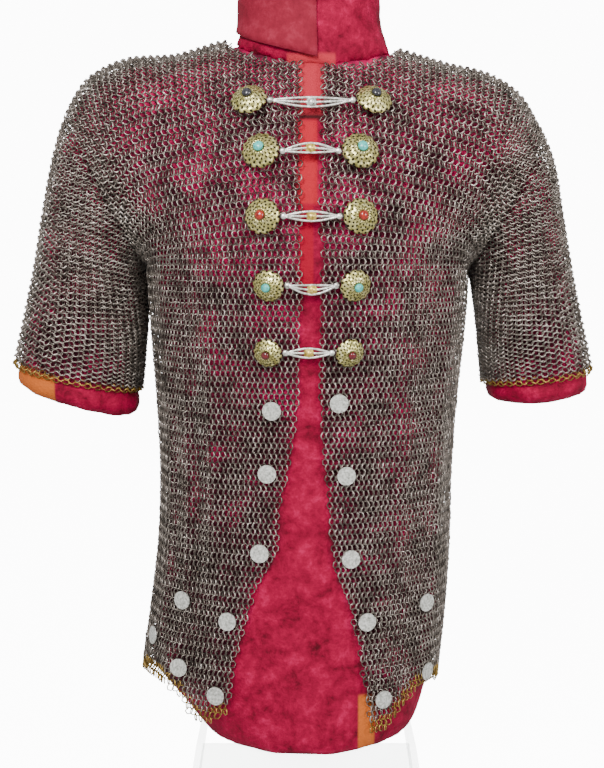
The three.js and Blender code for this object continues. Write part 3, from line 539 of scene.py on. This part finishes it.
def clear_of_neck(place):
    across = np.abs(place[:, 0] - NECK_HOLE["x"]) / NECK_HOLE["half_width"]
    along = np.abs(place[:, 1] - NECK_HOLE["y"]) / NECK_HOLE["half_depth"]
    return across ** NECK_HOLE["power"] + along ** NECK_HOLE["power"] > 1.0


def beside_slit(side, place):
    edge = front_edge[side](np.minimum(place[:, 2], CHEST_Z))
    return SIGN[side] * (place[:, 0] - edge) > SLIT_CLEARANCE


def over_hem(side, place, face, column):
    spread = np.degrees(angle_of_share(face, column / QUARTER_COLUMNS))
    angle = spread if face == "front" else 180 - spread
    return place[:, 2] - hem_height[side](angle)


def patch(side, face, part):
    """Rings of one quarter: their frames, their lean and their height over the hem."""
    rows = ARCH_ROWS[face] if part == "arch" else TUBE_ROWS
    row, column, odd = rows_and_columns(rows, QUARTER_COLUMNS)
    surface = arch_surface(side, face) if part == "arch" else tube_surface(side, face)
    place, along, out = ring_frames(surface, column, row)
    keep = clear_of_neck(place) if part == "arch" else np.ones(len(place), bool)
    if face == "front":
        keep &= beside_slit(side, place)
    over = over_hem(side, place, face, column) if part == "tube" else np.full(len(place), np.inf)
    keep &= over > HEM_CLEARANCE
    # The tube starts on an odd row where the arch ends on an even one.
    odd = odd if part == "tube" else ~odd
    return tuple(values[keep] for values in (place, along, out, odd, over))


def join_patches(patches):
    return [np.concatenate(values) for values in zip(*patches)]


# %% [markdown]
# A few rings are lost from the left front, low down. Round the small hole that they leave, and in
# a line above and below it, the rings hang slack and lie every way.
# %% Fronts, back and hem
HOLE = {"x": 84, "z": 344, "half_width": 4.5, "half_height": 5}
SLACK_HOLE = {"x": 83, "z": 345, "width": 7, "height": 9, "most": 3}
SLACK_LINE = {"x": 83, "width": 4, "low": 350, "fade": 60, "top": 412, "most": 1.5}


def loosened(place):
    """How much more than the others each ring scatters, on the front alone."""
    x, y, z = place.T
    hole = np.hypot((x - SLACK_HOLE["x"]) / SLACK_HOLE["width"],
                    (z - SLACK_HOLE["z"]) / SLACK_HOLE["height"])
    line = (np.abs(x - SLACK_LINE["x"]) / SLACK_LINE["width"]
            + np.clip(SLACK_LINE["low"] - z, 0, 99) / SLACK_LINE["fade"])
    on_line = np.exp(-line**2) * (z < SLACK_LINE["top"]) * SLACK_LINE["most"]
    return np.where(y < 0, np.exp(-hole**2) * SLACK_HOLE["most"] + on_line, 0)


def in_hole(place):
    x, y, z = place.T
    reach = np.hypot((x - HOLE["x"]) / HOLE["half_width"], (z - HOLE["z"]) / HOLE["half_height"])
    return (y < 0) & (reach < 1)


mail_pieces = {}


def add_mail(name, parts, brass):
    place, along, out, odd, over = join_patches(parts)
    border = over < BORDER_HEM
    chosen = (border if brass else ~border) & ~in_hole(place)
    material = brass_wire if brass else iron
    values = [v[chosen] for v in (place, along, out, odd)]
    mail_pieces[name] = joined_rings(name, *values, material, loosened(values[0]))


for side in SIGN:
    parts = [patch(side, "front", "arch"), patch(side, "front", "tube")]
    add_mail(f"rings_front_{side}", parts, brass=False)
    add_mail(f"rings_hem_{side}", parts[1:], brass=True)
back_tubes = {side: patch(side, "back", "tube") for side in SIGN}
add_mail("rings_back_upper", [patch(side, "back", "arch") for side in SIGN], brass=False)
for side in SIGN:
    add_mail(f"rings_back_lower_{side}", [back_tubes[side]], brass=False)
add_mail("rings_hem_back", list(back_tubes.values()), brass=True)

# %% [markdown]
# ## Sleeves
# The rows of the chest run on down the arm, so on a sleeve they lie along it, not round it. A row
# keeps its distance from the outermost one, and rows end early underneath, where the sleeve
# narrows. The last rings at the cuff are brass.
# %% Sleeves and cuffs
SLEEVE_COLUMNS = 36
FIRST_COLUMN = 0.4  # columns from the armhole to the first ring
LAST_SHARE = 0.995
HALF_ROWS = 44  # rows from the outermost one to the last underneath
END_CLEARANCE = 1.5  # mm that a row stops short of the underarm line
CUFF_ROW = 3  # mm by which the middle of the last ring stands back from the cuff
ELLIPSE_STEPS = 64


def turn_of_distance(half, depth, distance):
    """The turn round an ellipse at a distance from its outermost point, for each ring."""
    steps = np.linspace(0, math.pi, ELLIPSE_STEPS + 1)
    middle = (steps[1:] + steps[:-1]) / 2
    piece = np.hypot(half[:, None] * np.sin(middle), depth[:, None] * np.cos(middle))
    reached = np.cumsum(piece, axis=1) * (math.pi / ELLIPSE_STEPS)
    reached = np.concatenate([np.zeros((len(half), 1)), reached], axis=1)
    index = (reached < distance[:, None]).sum(axis=1).clip(1, ELLIPSE_STEPS)
    rows = np.arange(len(half))
    low, high = reached[rows, index - 1], reached[rows, index]
    share = np.clip((distance - low) / (high - low), 0, 1)
    return steps[index - 1] + share * (math.pi / ELLIPSE_STEPS), reached[:, -1]


def sleeve_rings(side):
    row, column, odd = rows_and_columns(2 * HALF_ROWS + 1, SLEEVE_COLUMNS)
    row = row - HALF_ROWS
    share = (column + FIRST_COLUMN) / SLEEVE_COLUMNS
    outer, inner = (
        sleeve_point(side, share, np.full(len(share), turn), 0.0) for turn in (0.0, math.pi))
    half = np.linalg.norm(outer - inner, axis=1) / 2
    turn, whole = turn_of_distance(half, sleeve_depth(share), np.abs(row) * ROW_PITCH)
    keep = (np.abs(row) * ROW_PITCH < whole - END_CLEARANCE) & (share < LAST_SHARE)
    turn = turn * np.sign(row)
    place, along, out = ring_frames(partial(sleeve_point, side), share[keep], turn[keep])
    length = shoulder[side][2] - ARMHOLE_RUN
    return place, along, out, odd[keep], (1 - share[keep]) * length


for side in SIGN:
    place, along, out, odd, to_cuff = sleeve_rings(side)
    border = to_cuff < BORDER_CUFF + CUFF_ROW
    for part, chosen, material in (("sleeve", ~border, iron), ("cuff", border, brass_wire)):
        values = [v[chosen] for v in (place, along, out, odd)]
        name = f"rings_{part}_{side}"
        mail_pieces[name] = joined_rings(name, *values, material)
ring_total = sum(len(p.data.vertices) for p in mail_pieces.values()) // len(ring_corners)
print("rings in all", ring_total, "triangles", ring_total * 2 * len(ring_faces))

# %% [markdown]
# ## Velvet
# The form is covered in crushed velvet: short silk pile pressed flat in places, so that it throws
# back bright pink where it leans towards the light and goes dark wine where it leans away. Near
# the neck the opening shows a faded salmon lining, and a strip by the hem has bleached orange.
# %% Velvet materials
PATCH_SOFT_X, PATCH_SOFT_Z = 0.0015, 0.003  # metres over which a patch fades at its edges
# Colours of the painted shade on the velvet under the rings.
SHADED_WINE_STOPS = [(0.36, "26080f"), (0.47, "420c1e"), (0.56, "6e0a2e"), (0.66, "a00c44")]


def band(tree, value, low, high, soft):
    """1 between low and high, fading over soft on each side."""
    up = remap(tree, value, low - soft, low + soft, smooth=True)
    down = remap(tree, value, high + soft, high - soft, smooth=True)
    return calc(tree, "MULTIPLY", up, down)


def velvet_material(name, stops, bump, patches=()):
    """patches: (x low, x high, z low, z high, hex) of faded or lined places, in metres."""
    material, tree, shader = new_material(name, Roughness=0.8, Specular_IOR_Level=0.12)
    # Crushed places are 10 to 30 mm across, torn at their edges.
    crush = object_noise(tree, 48.0, 8.0, roughness=0.72, distortion=0.2)
    colour = ramp(tree, crush, stops)
    place = add_node(tree, "TexCoord").outputs["Object"]
    parts = add_node(tree, "SeparateXYZ", links={"Vector": place}).outputs
    for x_low, x_high, z_low, z_high, hex_colour in patches:
        across = band(tree, parts["X"], x_low, x_high, PATCH_SOFT_X)
        along = band(tree, parts["Z"], z_low, z_high, PATCH_SOFT_Z)
        colour = blend(tree, calc(tree, "MULTIPLY", across, along), colour, hex_colour)
    # Under the rings the velvet is painted deep wine with brighter patches: painted shade cast by
    # the rings. The coat lies closest over the chest and shoulders, so the painted shade lightens
    # higher up.
    covered = add_node(tree, "Attribute", attribute_name="covered").outputs["Fac"]
    lighter_with_height = remap(tree, parts["Z"], 0.45, 0.9, -0.05, 0.05)
    glow = calc(tree, "ADD", object_noise(tree, 24.0, 5.0, roughness=0.7), lighter_with_height)
    painted_shade_under_rings = blend(tree, covered, colour, ramp(tree, glow, SHADED_WINE_STOPS))
    tree.links.new(painted_shade_under_rings, shader.inputs["Base Color"])
    height = calc(tree, "MULTIPLY_ADD", crush, 2.5, object_noise(tree, 420.0, 4.0))
    relieve(tree, shader, height, bump, 0.0016)
    return material


CRIMSON_STOPS = [(0.30, "3c000c"), (0.43, "6a0020"), (0.56, "84002c"), (0.74, "ac1248")]
crimson = velvet_material(
    "crushed_silk_velvet", CRIMSON_STOPS, 0.6,
    patches=[(-0.02, 0.03, 0.934, 1.0, "982430"), (-0.02, 0.03, 0.930, 0.936, "300a0c"),
             (-0.02, 0.011, 0.845, 0.930, "981624"), (-0.02, 0.007, 0.76, 0.845, "84001e"),
             (0.056, 0.074, 0.255, 0.325, "a4521e")],
)
faded_crimson = velvet_material(
    "crushed_silk_velvet_faded", CRIMSON_STOPS, 0.6,
    patches=[(-0.34, -0.268, 0.60, 0.70, "a4521e")],
)
reverse = velvet_material(
    "velvet_reverse", [(0.3, "5a0e1c"), (0.5, "701426"), (0.7, "862638")], 0.2,
)
print("velvets", crimson.name, reverse.name)

# %% [markdown]
# ## The padded form
# A dress form is a padded shell in a stretched cover, and the cover never lies quite flat. Each
# solid is copied, remeshed evenly in voxels so that it has points enough to move, smoothed, and
# then pushed in and out a little by noise. A cloth simulation would do it too, but the cover is
# stretched on and only its small pulls and dimples show.
# %% Soft copies of the form
SMOOTH_ROUNDS = 4


def soft_copy(node_name, name, voxel, dimple, size, material, swell=0.0, covered=None):
    """voxel, dimple depth, dimple size and swell in metres; covered says what the coat hides."""
    mesh = nodes[node_name].data.copy()
    bm = bmesh.new()
    bm.from_mesh(mesh)
    bmesh.ops.remove_doubles(bm, verts=bm.verts, dist=2e-5)
    bm.to_mesh(mesh)
    bm.free()
    rough = link_piece(name + "_rough", mesh)
    remesh = rough.modifiers.new("even", "REMESH")
    remesh.mode = "VOXEL"
    remesh.voxel_size = voxel
    settled = rough.evaluated_get(bpy.context.evaluated_depsgraph_get())
    shaped = bpy.data.meshes.new_from_object(settled)
    bpy.data.objects.remove(rough)
    bm = bmesh.new()
    bm.from_mesh(shaped)
    for _ in range(SMOOTH_ROUNDS):
        bmesh.ops.smooth_vert(
            bm, verts=bm.verts, factor=0.5, use_axis_x=True, use_axis_y=True, use_axis_z=True)
    bm.normal_update()
    for v in bm.verts:
        v.co += v.normal * (swell + dimple * noise.fractal(v.co / size, 0.9, 2.0, 3))
    for f in bm.faces:
        f.smooth = True
    shaped.materials.clear()
    bm.to_mesh(shaped)
    bm.free()
    shaped.name = name
    shaped.materials.append(material)
    # The covered mask says where the velvet takes its painted shade from the rings.
    hidden = shaped.attributes.new("covered", "FLOAT", "POINT")
    hidden.data.foreach_set("value", [covered(v.co) if covered else 0.0 for v in shaped.vertices])
    print(name, "faces", len(shaped.polygons))
    return link_piece(name, shaped)


# Heights and lengths in mm: the hem, and how far the painted shade under the coat takes to begin.
HEM_SHADE, HEM_FADE, SLIT_FADE, CUFF_SHADE, CUFF_FADE = 312, 8, 6, 2, 6


def under_coat(co):
    """1 where the coat lies over the body, 0 in its opening and below its hem."""
    x, z = co.x / MM, co.z / MM
    side = "right" if x < body_shift(min(z, CHEST_Z)) else "left"
    edge = front_edge[side](min(z, CHEST_Z))
    inside = SIGN[side] * (x - edge) / SLIT_FADE if co.y < 0 else 1.0
    above = (z - HEM_SHADE) / HEM_FADE
    return float(min(max(min(inside, above), 0.0), 1.0))


def under_sleeve(side):
    """The same for a sleeve pad, above the line of the cuff."""
    (outer_x, outer_z), (inner_x, inner_z) = SHOULDER_LINE[side][-1], UNDERARM_LINE[side][-1]

    def covered(co):
        share = (co.x / MM - inner_x) / (outer_x - inner_x)
        line = inner_z + share * (outer_z - inner_z)
        return float(min(max((co.z / MM - line - CUFF_SHADE) / CUFF_FADE, 0.0), 1.0))

    return covered


velvet_body = soft_copy(
    "form_body", "velvet_body", 0.0085, 0.0015, 0.04, crimson, 0.0032, under_coat)
velvet_neck = soft_copy("form_neck", "velvet_neck", 0.005, 0.0025, 0.03, crimson)
velvet_pads = {
    side: soft_copy(
        f"form_sleeve_pad_{side}", f"velvet_sleeve_pad_{side}", 0.008, 0.0015, 0.035, cover,
        0.0042, under_sleeve(side))
    for side, cover in (("right", faded_crimson), ("left", crimson))
}

# %% [markdown]
# ## Collar end
# The loose end of the cover's collar is turned over the front of the neck with its dull back
# outwards. It is a small sheet of cloth, so it is a curved grid with a real thickness.
# %% Collar flap
# Middle of the neck, heights and standoff in mm; from and to in degrees round the neck.
COLLAR = {
    "x": 5, "y": -2, "top": 1085, "low_start": 1030, "low_end": 996,
    "from": 187, "to": 274, "standoff": 2.6, "ripple": 0.8,
}
# z, half breadth, depth in front
NECK_SECTIONS = np.array([
    (940, 84, 60), (1006, 87, 62), (1020, 81, 61), (1034, 75.5, 59), (1060, 74, 58), (1083, 73, 57),
], float)
neck_width, neck_front = (curve_through(NECK_SECTIONS[:, 0], NECK_SECTIONS[:, k]) for k in (1, 2))


def collar_place(u, v):
    """u: along the collar from the wearer's right to its end; v: from the top to the bottom."""
    angle = math.radians(COLLAR["from"] + (COLLAR["to"] - COLLAR["from"]) * u)
    low = COLLAR["low_start"] + (COLLAR["low_end"] - COLLAR["low_start"]) * u
    z = COLLAR["top"] + (low - COLLAR["top"]) * v
    out = COLLAR["standoff"] + COLLAR["ripple"] * math.sin(5 * u + 3 * v)
    x = COLLAR["x"] + (float(neck_width(z)) + out) * math.cos(angle)
    y = COLLAR["y"] + (float(neck_front(z)) + out) * math.sin(angle)
    return (x * MM, y * MM, z * MM)


bm = bmesh.new()
bmesh.ops.create_grid(bm, x_segments=24, y_segments=12, size=0.5)
for v in bm.verts:
    v.co = collar_place(v.co.x + 0.5, v.co.y + 0.5)
bmesh.ops.recalc_face_normals(bm, faces=bm.faces)
bmesh.ops.solidify(bm, geom=bm.faces[:], thickness=0.0014)
bmesh.ops.recalc_face_normals(bm, faces=bm.faces)
collar_flap = finish_piece(bm, "collar_flap", reverse)
print("collar flap faces", len(collar_flap.data.polygons))

# %% [markdown]
# ## Gilt bosses
# Each clasp ends in a pair of pierced domes of pale gilt metal: petals round the rim, a second
# tier of petals, and a stone in a collet at the tip. A dome is a profile spun about its axis, and
# its petals are made by pulling every other group of points in. The small holes of the piercing
# are finer than is worth cutting, so they are painted as dark dimples: painted shade, for the
# dark hollow behind each hole.
# %% Metal and stone finishes
HOLES_AROUND = 16
HOLE_TIERS = 3.5  # waves from the tip to the rim, each with one tier of holes at its crest


def wave(tree, value, times):
    """A sine that repeats some times while the value goes from 0 to 1."""
    return calc(tree, "SINE", calc(tree, "MULTIPLY", value, 2 * math.pi * times))


def gilt_material():
    material, tree, shader = new_material("pale_gilt_brass", Metallic=0.85, Roughness=0.36)
    spread = add_node(tree, "UVMap", uv_map="petals").outputs["UV"]
    parts = add_node(tree, "SeparateXYZ", links={"Vector": spread}).outputs
    around, up = wave(tree, parts["X"], HOLES_AROUND), wave(tree, parts["Y"], HOLE_TIERS)
    holes = remap(tree, calc(tree, "MULTIPLY", around, up), 0.25, 0.6, smooth=True)
    grime = object_noise(tree, 300.0, 4.0)
    ground = ramp(tree, grime, [(0.3, "6e6832"), (0.5, "b0a868"), (0.7, "e0d8a2")])
    # The holes are painted shade: a dark colour for the hollow behind each one.
    tree.links.new(blend(tree, holes, ground, "2b2413"), shader.inputs["Base Color"])
    relieve(tree, shader, calc(tree, "SUBTRACT", 1.0, holes), 0.9, 0.0012)
    return material


def clouded(stops, scale, detail, name, **surface):
    """A material whose colour drifts through the stops, and the noise that drives it."""
    material, tree, shader = new_material(name, **surface)
    cloud = object_noise(tree, scale, detail)
    tree.links.new(ramp(tree, cloud, stops), shader.inputs["Base Color"])
    return material, tree, shader, cloud


def worn_metal(name, stops, roughness, scale):
    material, tree, shader, wear = clouded(
        stops, scale, 5.0, name, Metallic=0.75, Roughness=roughness)
    relieve(tree, shader, wear, 0.25, 0.0004)
    return material


def stone_material(name, stops, roughness):
    return clouded(stops, 500.0, 3.0, name, Roughness=roughness, IOR=1.54)[0]


gilt = gilt_material()
silver = worn_metal(
    "worn_silver", [(0.3, "77756d"), (0.5, "bdbcb5"), (0.7, "e2e2de")], 0.35, 260.0)
disc_silver = worn_metal(
    "struck_silver", [(0.3, "83837d"), (0.5, "b9b9b2"), (0.7, "dadad5")], 0.5, 420.0)
gold_wire = worn_metal(
    "gilt_silver", [(0.3, "8a7430"), (0.5, "c2a552"), (0.7, "e2cc86")], 0.35, 400.0)
stones = {
    "onyx": stone_material("onyx", [(0.4, "0d0d10"), (0.6, "2c2c33")], 0.12),
    "turquoise": stone_material("turquoise", [(0.35, "1c7d78"), (0.6, "48a89e")], 0.3),
    "carnelian": stone_material("carnelian", [(0.4, "5a0c04"), (0.6, "96200c")], 0.15),
    "garnet": stone_material("garnet", [(0.4, "300508"), (0.6, "5c0c14")], 0.15),
}
print("stones", list(stones))

# %% Dome profile and petals
BOSS_RADII = [18.6, 19.2, 18.3, 16.5, 15.2]
BOSS_STONES = ["onyx", "turquoise", "carnelian", "turquoise", "garnet"]
DOME_STEPS = 48
PETALS = 12
PETAL_DEPTH = 0.075  # share of the radius
# The stone's radius, its flattening and the height of its middle, as shares
STONE_RADIUS, STONE_FLAT, STONE_HEIGHT = 0.27, 0.62, 0.64
# radius and height as shares of the boss's radius, then how deep the petals cut there
DOME_PROFILE = [
    (0.18, -0.18, 0), (0.2, 0.02, 0), (0.93, 0.03, 1.0), (1.0, 0.08, 1.0), (0.97, 0.15, 1.0),
    (0.88, 0.22, 0.5), (0.8, 0.25, 0), (0.76, 0.28, 0.7), (0.73, 0.36, 0.8), (0.62, 0.43, 0.6),
    (0.52, 0.46, 0), (0.47, 0.49, 0.5), (0.43, 0.57, 0.5), (0.36, 0.62, 0), (0.31, 0.6, 0),
    (0.28, 0.57, 0), (0.0, 0.57, 0),
]


def boss_seat(mesh):
    """Seat of a turned solid and the way that it faces, read from its own points."""
    points = np.empty(len(mesh.vertices) * 3)
    mesh.vertices.foreach_get("co", points)
    points = np.unique(points.reshape(-1, 3).round(6), axis=0)
    centre = points.mean(axis=0)
    # A dome is flatter than it is wide, so its axis is the way in which its points vary least.
    axis = np.linalg.svd(points - centre)[2][2]
    axis = axis if axis[1] < 0 else -axis
    spans = np.linalg.norm(np.cross(points - centre, axis), axis=1)
    rim = points[spans > spans.max() * 0.97]
    middle = rim.mean(axis=0)
    return middle + axis * ((rim - middle) @ axis).min(), axis


seats = {
    (side, i): (*boss_seat(nodes[f"boss_{side}_{i + 1}"].data), radius * MM)
    for side in SIGN for i, radius in enumerate(BOSS_RADII)
}
print("boss 1 faces", [round(float(v), 2) for v in seats["right", 0][1]])


def turn_to(place, axis):
    turn = Vector((0, 0, 1)).rotation_difference(Vector([float(v) for v in axis]))
    return Matrix.Translation(Vector([float(v) for v in place])) @ turn.to_matrix().to_4x4()


def spun(profile, steps):
    """A closed turned piece about Z from (radius, height) pairs that end on the axis."""
    bm = bmesh.new()
    rail = [bm.verts.new((radius, 0, height)) for radius, height in profile]
    edges = [bm.edges.new(pair) for pair in zip(rail, rail[1:])]
    bmesh.ops.spin(bm, geom=rail + edges, axis=(0, 0, 1), cent=(0, 0, 0),
                   angle=2 * math.pi, steps=steps, use_merge=True)
    bmesh.ops.remove_doubles(bm, verts=bm.verts, dist=1e-6)
    bmesh.ops.recalc_face_normals(bm, faces=bm.faces)
    return bm


def petal_dome(radius, name, place, axis):
    """A dome with petals, and its angle and radius as the UV map that the piercing follows."""
    profile = [(0.0, DOME_PROFILE[0][1])] + [(r, h) for r, h, _ in DOME_PROFILE]
    bm = spun([(r * radius, h * radius) for r, h in profile], DOME_STEPS)
    cuts = {round(h * 1e4): cut for r, h, cut in DOME_PROFILE}
    petals = bm.loops.layers.uv.new("petals")
    for v in bm.verts:
        cut = cuts.get(round(v.co.z / radius * 1e4), 0)
        angle = math.atan2(v.co.y, v.co.x)
        pull = 1 - PETAL_DEPTH * cut * (0.5 - 0.5 * math.cos(angle * PETALS)) ** 2
        v.co.x *= pull
        v.co.y *= pull
    for f in bm.faces:
        middle = math.atan2(f.calc_center_median().y, f.calc_center_median().x)
        for loop in f.loops:
            angle = math.atan2(loop.vert.co.y, loop.vert.co.x)
            angle = middle + (angle - middle + math.pi) % (2 * math.pi) - math.pi
            out = math.hypot(loop.vert.co.x, loop.vert.co.y)
            loop[petals].uv = (angle / (2 * math.pi), out / radius)
    bmesh.ops.transform(bm, matrix=turn_to(place, axis), verts=bm.verts)
    return finish_piece(bm, name, gilt)


# %% Bosses and stones
bosses, boss_stones = {}, {}
for (side, i), (place, axis, radius) in seats.items():
    bosses[side, i] = petal_dome(radius, f"pierced_boss_{side}_{i + 1}", place, axis)
    bm = bmesh.new()
    bmesh.ops.create_uvsphere(bm, u_segments=20, v_segments=10, radius=radius * STONE_RADIUS)
    bmesh.ops.scale(bm, vec=(1, 1, STONE_FLAT), verts=bm.verts)
    seat = turn_to(place + axis * radius * STONE_HEIGHT, axis)
    bmesh.ops.transform(bm, matrix=seat, verts=bm.verts)
    boss_stones[side, i] = finish_piece(bm, f"cut_stone_{side}_{i + 1}", stones[BOSS_STONES[i]])
print("bosses", len(bosses), "stones", len(boss_stones))

# %% [markdown]
# ## Clasps
# Between each pair of bosses run three thin silver wires that part in the middle round a small
# gilt flower, and meet in a flat pad at each end. Each wire is a row of small circles bridged into
# a tube, which keeps its ends closed and its bends even.
# %% Clasp wires
# Sizes in millimetres
CLASP_SAG = [2.0, -3.0, 0.0, 4.0, 0.0]  # how far the middle hangs below the ends
WIRE_BOW = 4.6
WIRE_RADIUS = 1.25
WIRE_BENDS = 14
PAD_RADIUS = 2.6
PAD_INSET = 2.4  # from the end of the clasp to the middle of its pad
CLASP_LIFT = 3.2  # from the seat of the boss to the wires
FLOWER_RADIUS, FLOWER_RISE = 6.2, 4.5
# radius and height of the flower as shares, and how its eight petals are cut
FLOWER_PROFILE = [
    (0, -0.5), (0.9, -0.5), (1.0, -0.1), (0.8, 0.25), (0.55, 0.3), (0.45, 0.55), (0.0, 0.7),
]
FLOWER_PETALS, FLOWER_CUT, FLOWER_HEART = 8, 0.14, 0.7


def tube_along(bm, path, radius, sides=8):
    """Bridges circles set square to a path of points into a closed tube."""
    loops = []
    for i, point in enumerate(path):
        ahead = (path[min(i + 1, len(path) - 1)] - path[max(i - 1, 0)]).normalized()
        turn = Vector((0, 0, 1)).rotation_difference(ahead).to_matrix().to_4x4()
        ends = i in (0, len(path) - 1)
        corners = bmesh.ops.create_circle(
            bm, segments=sides, radius=radius, cap_ends=ends,
            matrix=Matrix.Translation(point) @ turn)["verts"]
        loops.append([e for e in {e for v in corners for e in v.link_edges}
                      if all(w in corners for w in e.verts)])
    for first, second in zip(loops, loops[1:]):
        bmesh.ops.bridge_loops(bm, edges=first + second)


def clasp_piece(i):
    """The wires and pads of one clasp, and the place of its flower."""
    bm = bmesh.new()
    low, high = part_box(f"clasp_{i + 1}")
    start, end = (
        Vector((x, float(seat[1]) - CLASP_LIFT * MM, seat[2]))
        for x, seat in ((low[0] + PAD_INSET * MM, seats["right", i][0]),
                        (high[0] - PAD_INSET * MM, seats["left", i][0]))
    )
    for bow in (-WIRE_BOW, 0, WIRE_BOW):
        path = []
        for k in range(WIRE_BENDS + 1):
            t = k / WIRE_BENDS
            point = start.lerp(end, t)
            point.z += (bow - CLASP_SAG[i]) * MM * math.sin(math.pi * t)
            path.append(point)
        tube_along(bm, path, WIRE_RADIUS * MM)
    for point in (start, end):
        pad = bmesh.ops.create_uvsphere(bm, u_segments=12, v_segments=8, radius=PAD_RADIUS * MM)
        bmesh.ops.scale(bm, vec=(1.3, 0.6, 1.2), verts=pad["verts"])
        bmesh.ops.translate(bm, vec=point, verts=pad["verts"])
    bmesh.ops.recalc_face_normals(bm, faces=bm.faces)
    piece = finish_piece(bm, f"clasp_wires_{i + 1}", silver)
    return piece, start.lerp(end, 0.5) - Vector((0, 0, CLASP_SAG[i] * MM))


def flower(name, centre, material):
    bm = spun(FLOWER_PROFILE, 32)
    for v in bm.verts:
        angle = math.atan2(v.co.y, v.co.x)
        if math.hypot(v.co.x, v.co.y) > FLOWER_HEART:
            pull = 1 - FLOWER_CUT * (0.5 - 0.5 * math.cos(FLOWER_PETALS * angle))
            v.co.x, v.co.y = v.co.x * pull, v.co.y * pull
    size = (FLOWER_RADIUS * MM, FLOWER_RADIUS * MM, FLOWER_RISE * MM)
    bmesh.ops.scale(bm, vec=size, verts=bm.verts)
    bmesh.ops.transform(bm, matrix=turn_to(centre, (0, -1, 0)), verts=bm.verts)
    return finish_piece(bm, name, material)


clasps, flowers = {}, {}
for i in range(5):
    clasps[i], centre = clasp_piece(i)
    flowers[i] = flower(f"clasp_flower_{i + 1}", centre, silver if i == 0 else gold_wire)
print("clasps", len(clasps), "triangles", sum(len(c.data.polygons) for c in clasps.values()))

# %% [markdown]
# ## Plinth and finishes of the plain solids
# The form stands on a plinth of clear acrylic, whose cut edges gather a pale green. The blank
# discs are already true in their solids, and need only a worn silver surface.
# %% Acrylic and discs
def acrylic_material():
    material, tree, shader = new_material(
        "clear_acrylic", Base_Color=linear("dcece4"), IOR=1.49, Alpha=0.3)
    haze = remap(tree, object_noise(tree, 90.0, 4.0), 0.4, 0.8, 0.03, 0.12)
    tree.links.new(haze, shader.inputs["Roughness"])
    return material


acrylic = acrylic_material()


def refinish(node_name, material):
    mesh = nodes[node_name].data
    mesh.materials.clear()
    mesh.materials.append(material)


for name in ("plinth_walls", "plinth_base"):
    refinish(name, acrylic)
disc_names = [name for name in nodes if name.startswith("disc_")]
for name in disc_names:
    refinish(name, disc_silver)
print("discs", len(disc_names))


def declare(piece, node_name):
    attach(piece, "root")
    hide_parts(node_name)


def declare_mail(name, node_name):
    """Attaches a piece of mail to the root and hides the solid that it stands in for."""
    piece = mail_pieces[name]
    declare(piece, node_name)


for side in SIGN:
    front, sleeve = f"rings_front_{side}", f"rings_sleeve_{side}"
    declare_mail(front, f"front_{side}")
    declare_mail(f"rings_hem_{side}", f"hem_{side}")
    declare_mail(f"rings_back_lower_{side}", "back")
    declare_mail(sleeve, f"sleeve_{side}")
    declare_mail(f"rings_cuff_{side}", f"cuff_{side}")
declare_mail("rings_back_upper", "back")
declare_mail("rings_hem_back", "hem_back")

# %% The form, the clasps and the rest
soft = [(velvet_body, "form_body"), (velvet_neck, "form_neck")]
soft += [(velvet_pads[side], f"form_sleeve_pad_{side}") for side in SIGN]
for piece, node_name in soft:
    declare(piece, node_name)
declare(collar_flap, "form_collar_flap")
for side, i in seats:
    declare(bosses[side, i], f"boss_{side}_{i + 1}")
    declare(boss_stones[side, i], f"stone_{side}_{i + 1}")
for i in clasps:
    declare(clasps[i], f"clasp_{i + 1}")
    declare(flowers[i], f"clasp_{i + 1}")
rigid = (bosses, boss_stones, clasps, flowers)
print("cloth", len(mail_pieces) + len(soft) + 1, "pieces, metal and stone", sum(map(len, rigid)))

# %% [markdown]
# ## Floor and light
# A pale floor and even, soft light from all round and in front, as in a light tent. The front
# light is large, so that every ring carries one thin highlight and no hard shadow.
# %% Stage
bm = bmesh.new()
bmesh.ops.create_grid(bm, x_segments=1, y_segments=1, size=30)
paper = new_material(
    "lit_white_paper", Base_Color=linear("fbfbfa"), Roughness=0.9,
    Emission_Color=(1, 1, 1, 1), Emission_Strength=11.0)[0]
floor = finish_piece(bm, "floor", paper, smooth=False)
# The paper is lit from behind, but sends no light up under the coat.
floor.visible_diffuse = False
floor.visible_glossy = False


CHEST = Vector((0, 0, 0.7))
LIGHT_SIZE = 0.8  # metres across
LIGHTS = {"front_light": ((-0.5, -2.0, 1.9), 95), "side_light": ((1.6, -1.6, 1.3), 40)}  # watts
WALL_GLOW = 12.0  # what the camera sees of the tent; the coat is lit by a glow of 1

for name, (place, power) in LIGHTS.items():
    data = bpy.data.lights.new(name, "AREA")
    data.shape = "DISK"
    data.size = LIGHT_SIZE
    data.energy = power
    light = link_piece(name, data)
    light.location = place
    light.rotation_euler = (CHEST - Vector(place)).to_track_quat("-Z", "Y").to_euler()
world = bpy.data.worlds.new("light_tent")
world.use_nodes = True
sky = world.node_tree
surround = sky.nodes["Background"]
surround.inputs["Color"].default_value = (1, 1, 1, 1)
surround.inputs["Strength"].default_value = 1.0
wall = add_node(sky, "Background", values={"Color": (1, 1, 1, 1), "Strength": WALL_GLOW})
seen = add_node(sky, "LightPath").outputs["Is Camera Ray"]
both = add_node(sky, "MixShader", links={0: seen, 1: surround.outputs[0], 2: wall.outputs[0]})
sky.links.new(both.outputs[0], sky.nodes["World Output"].inputs["Surface"])
bpy.context.scene.world = world
print("lights", list(LIGHTS))
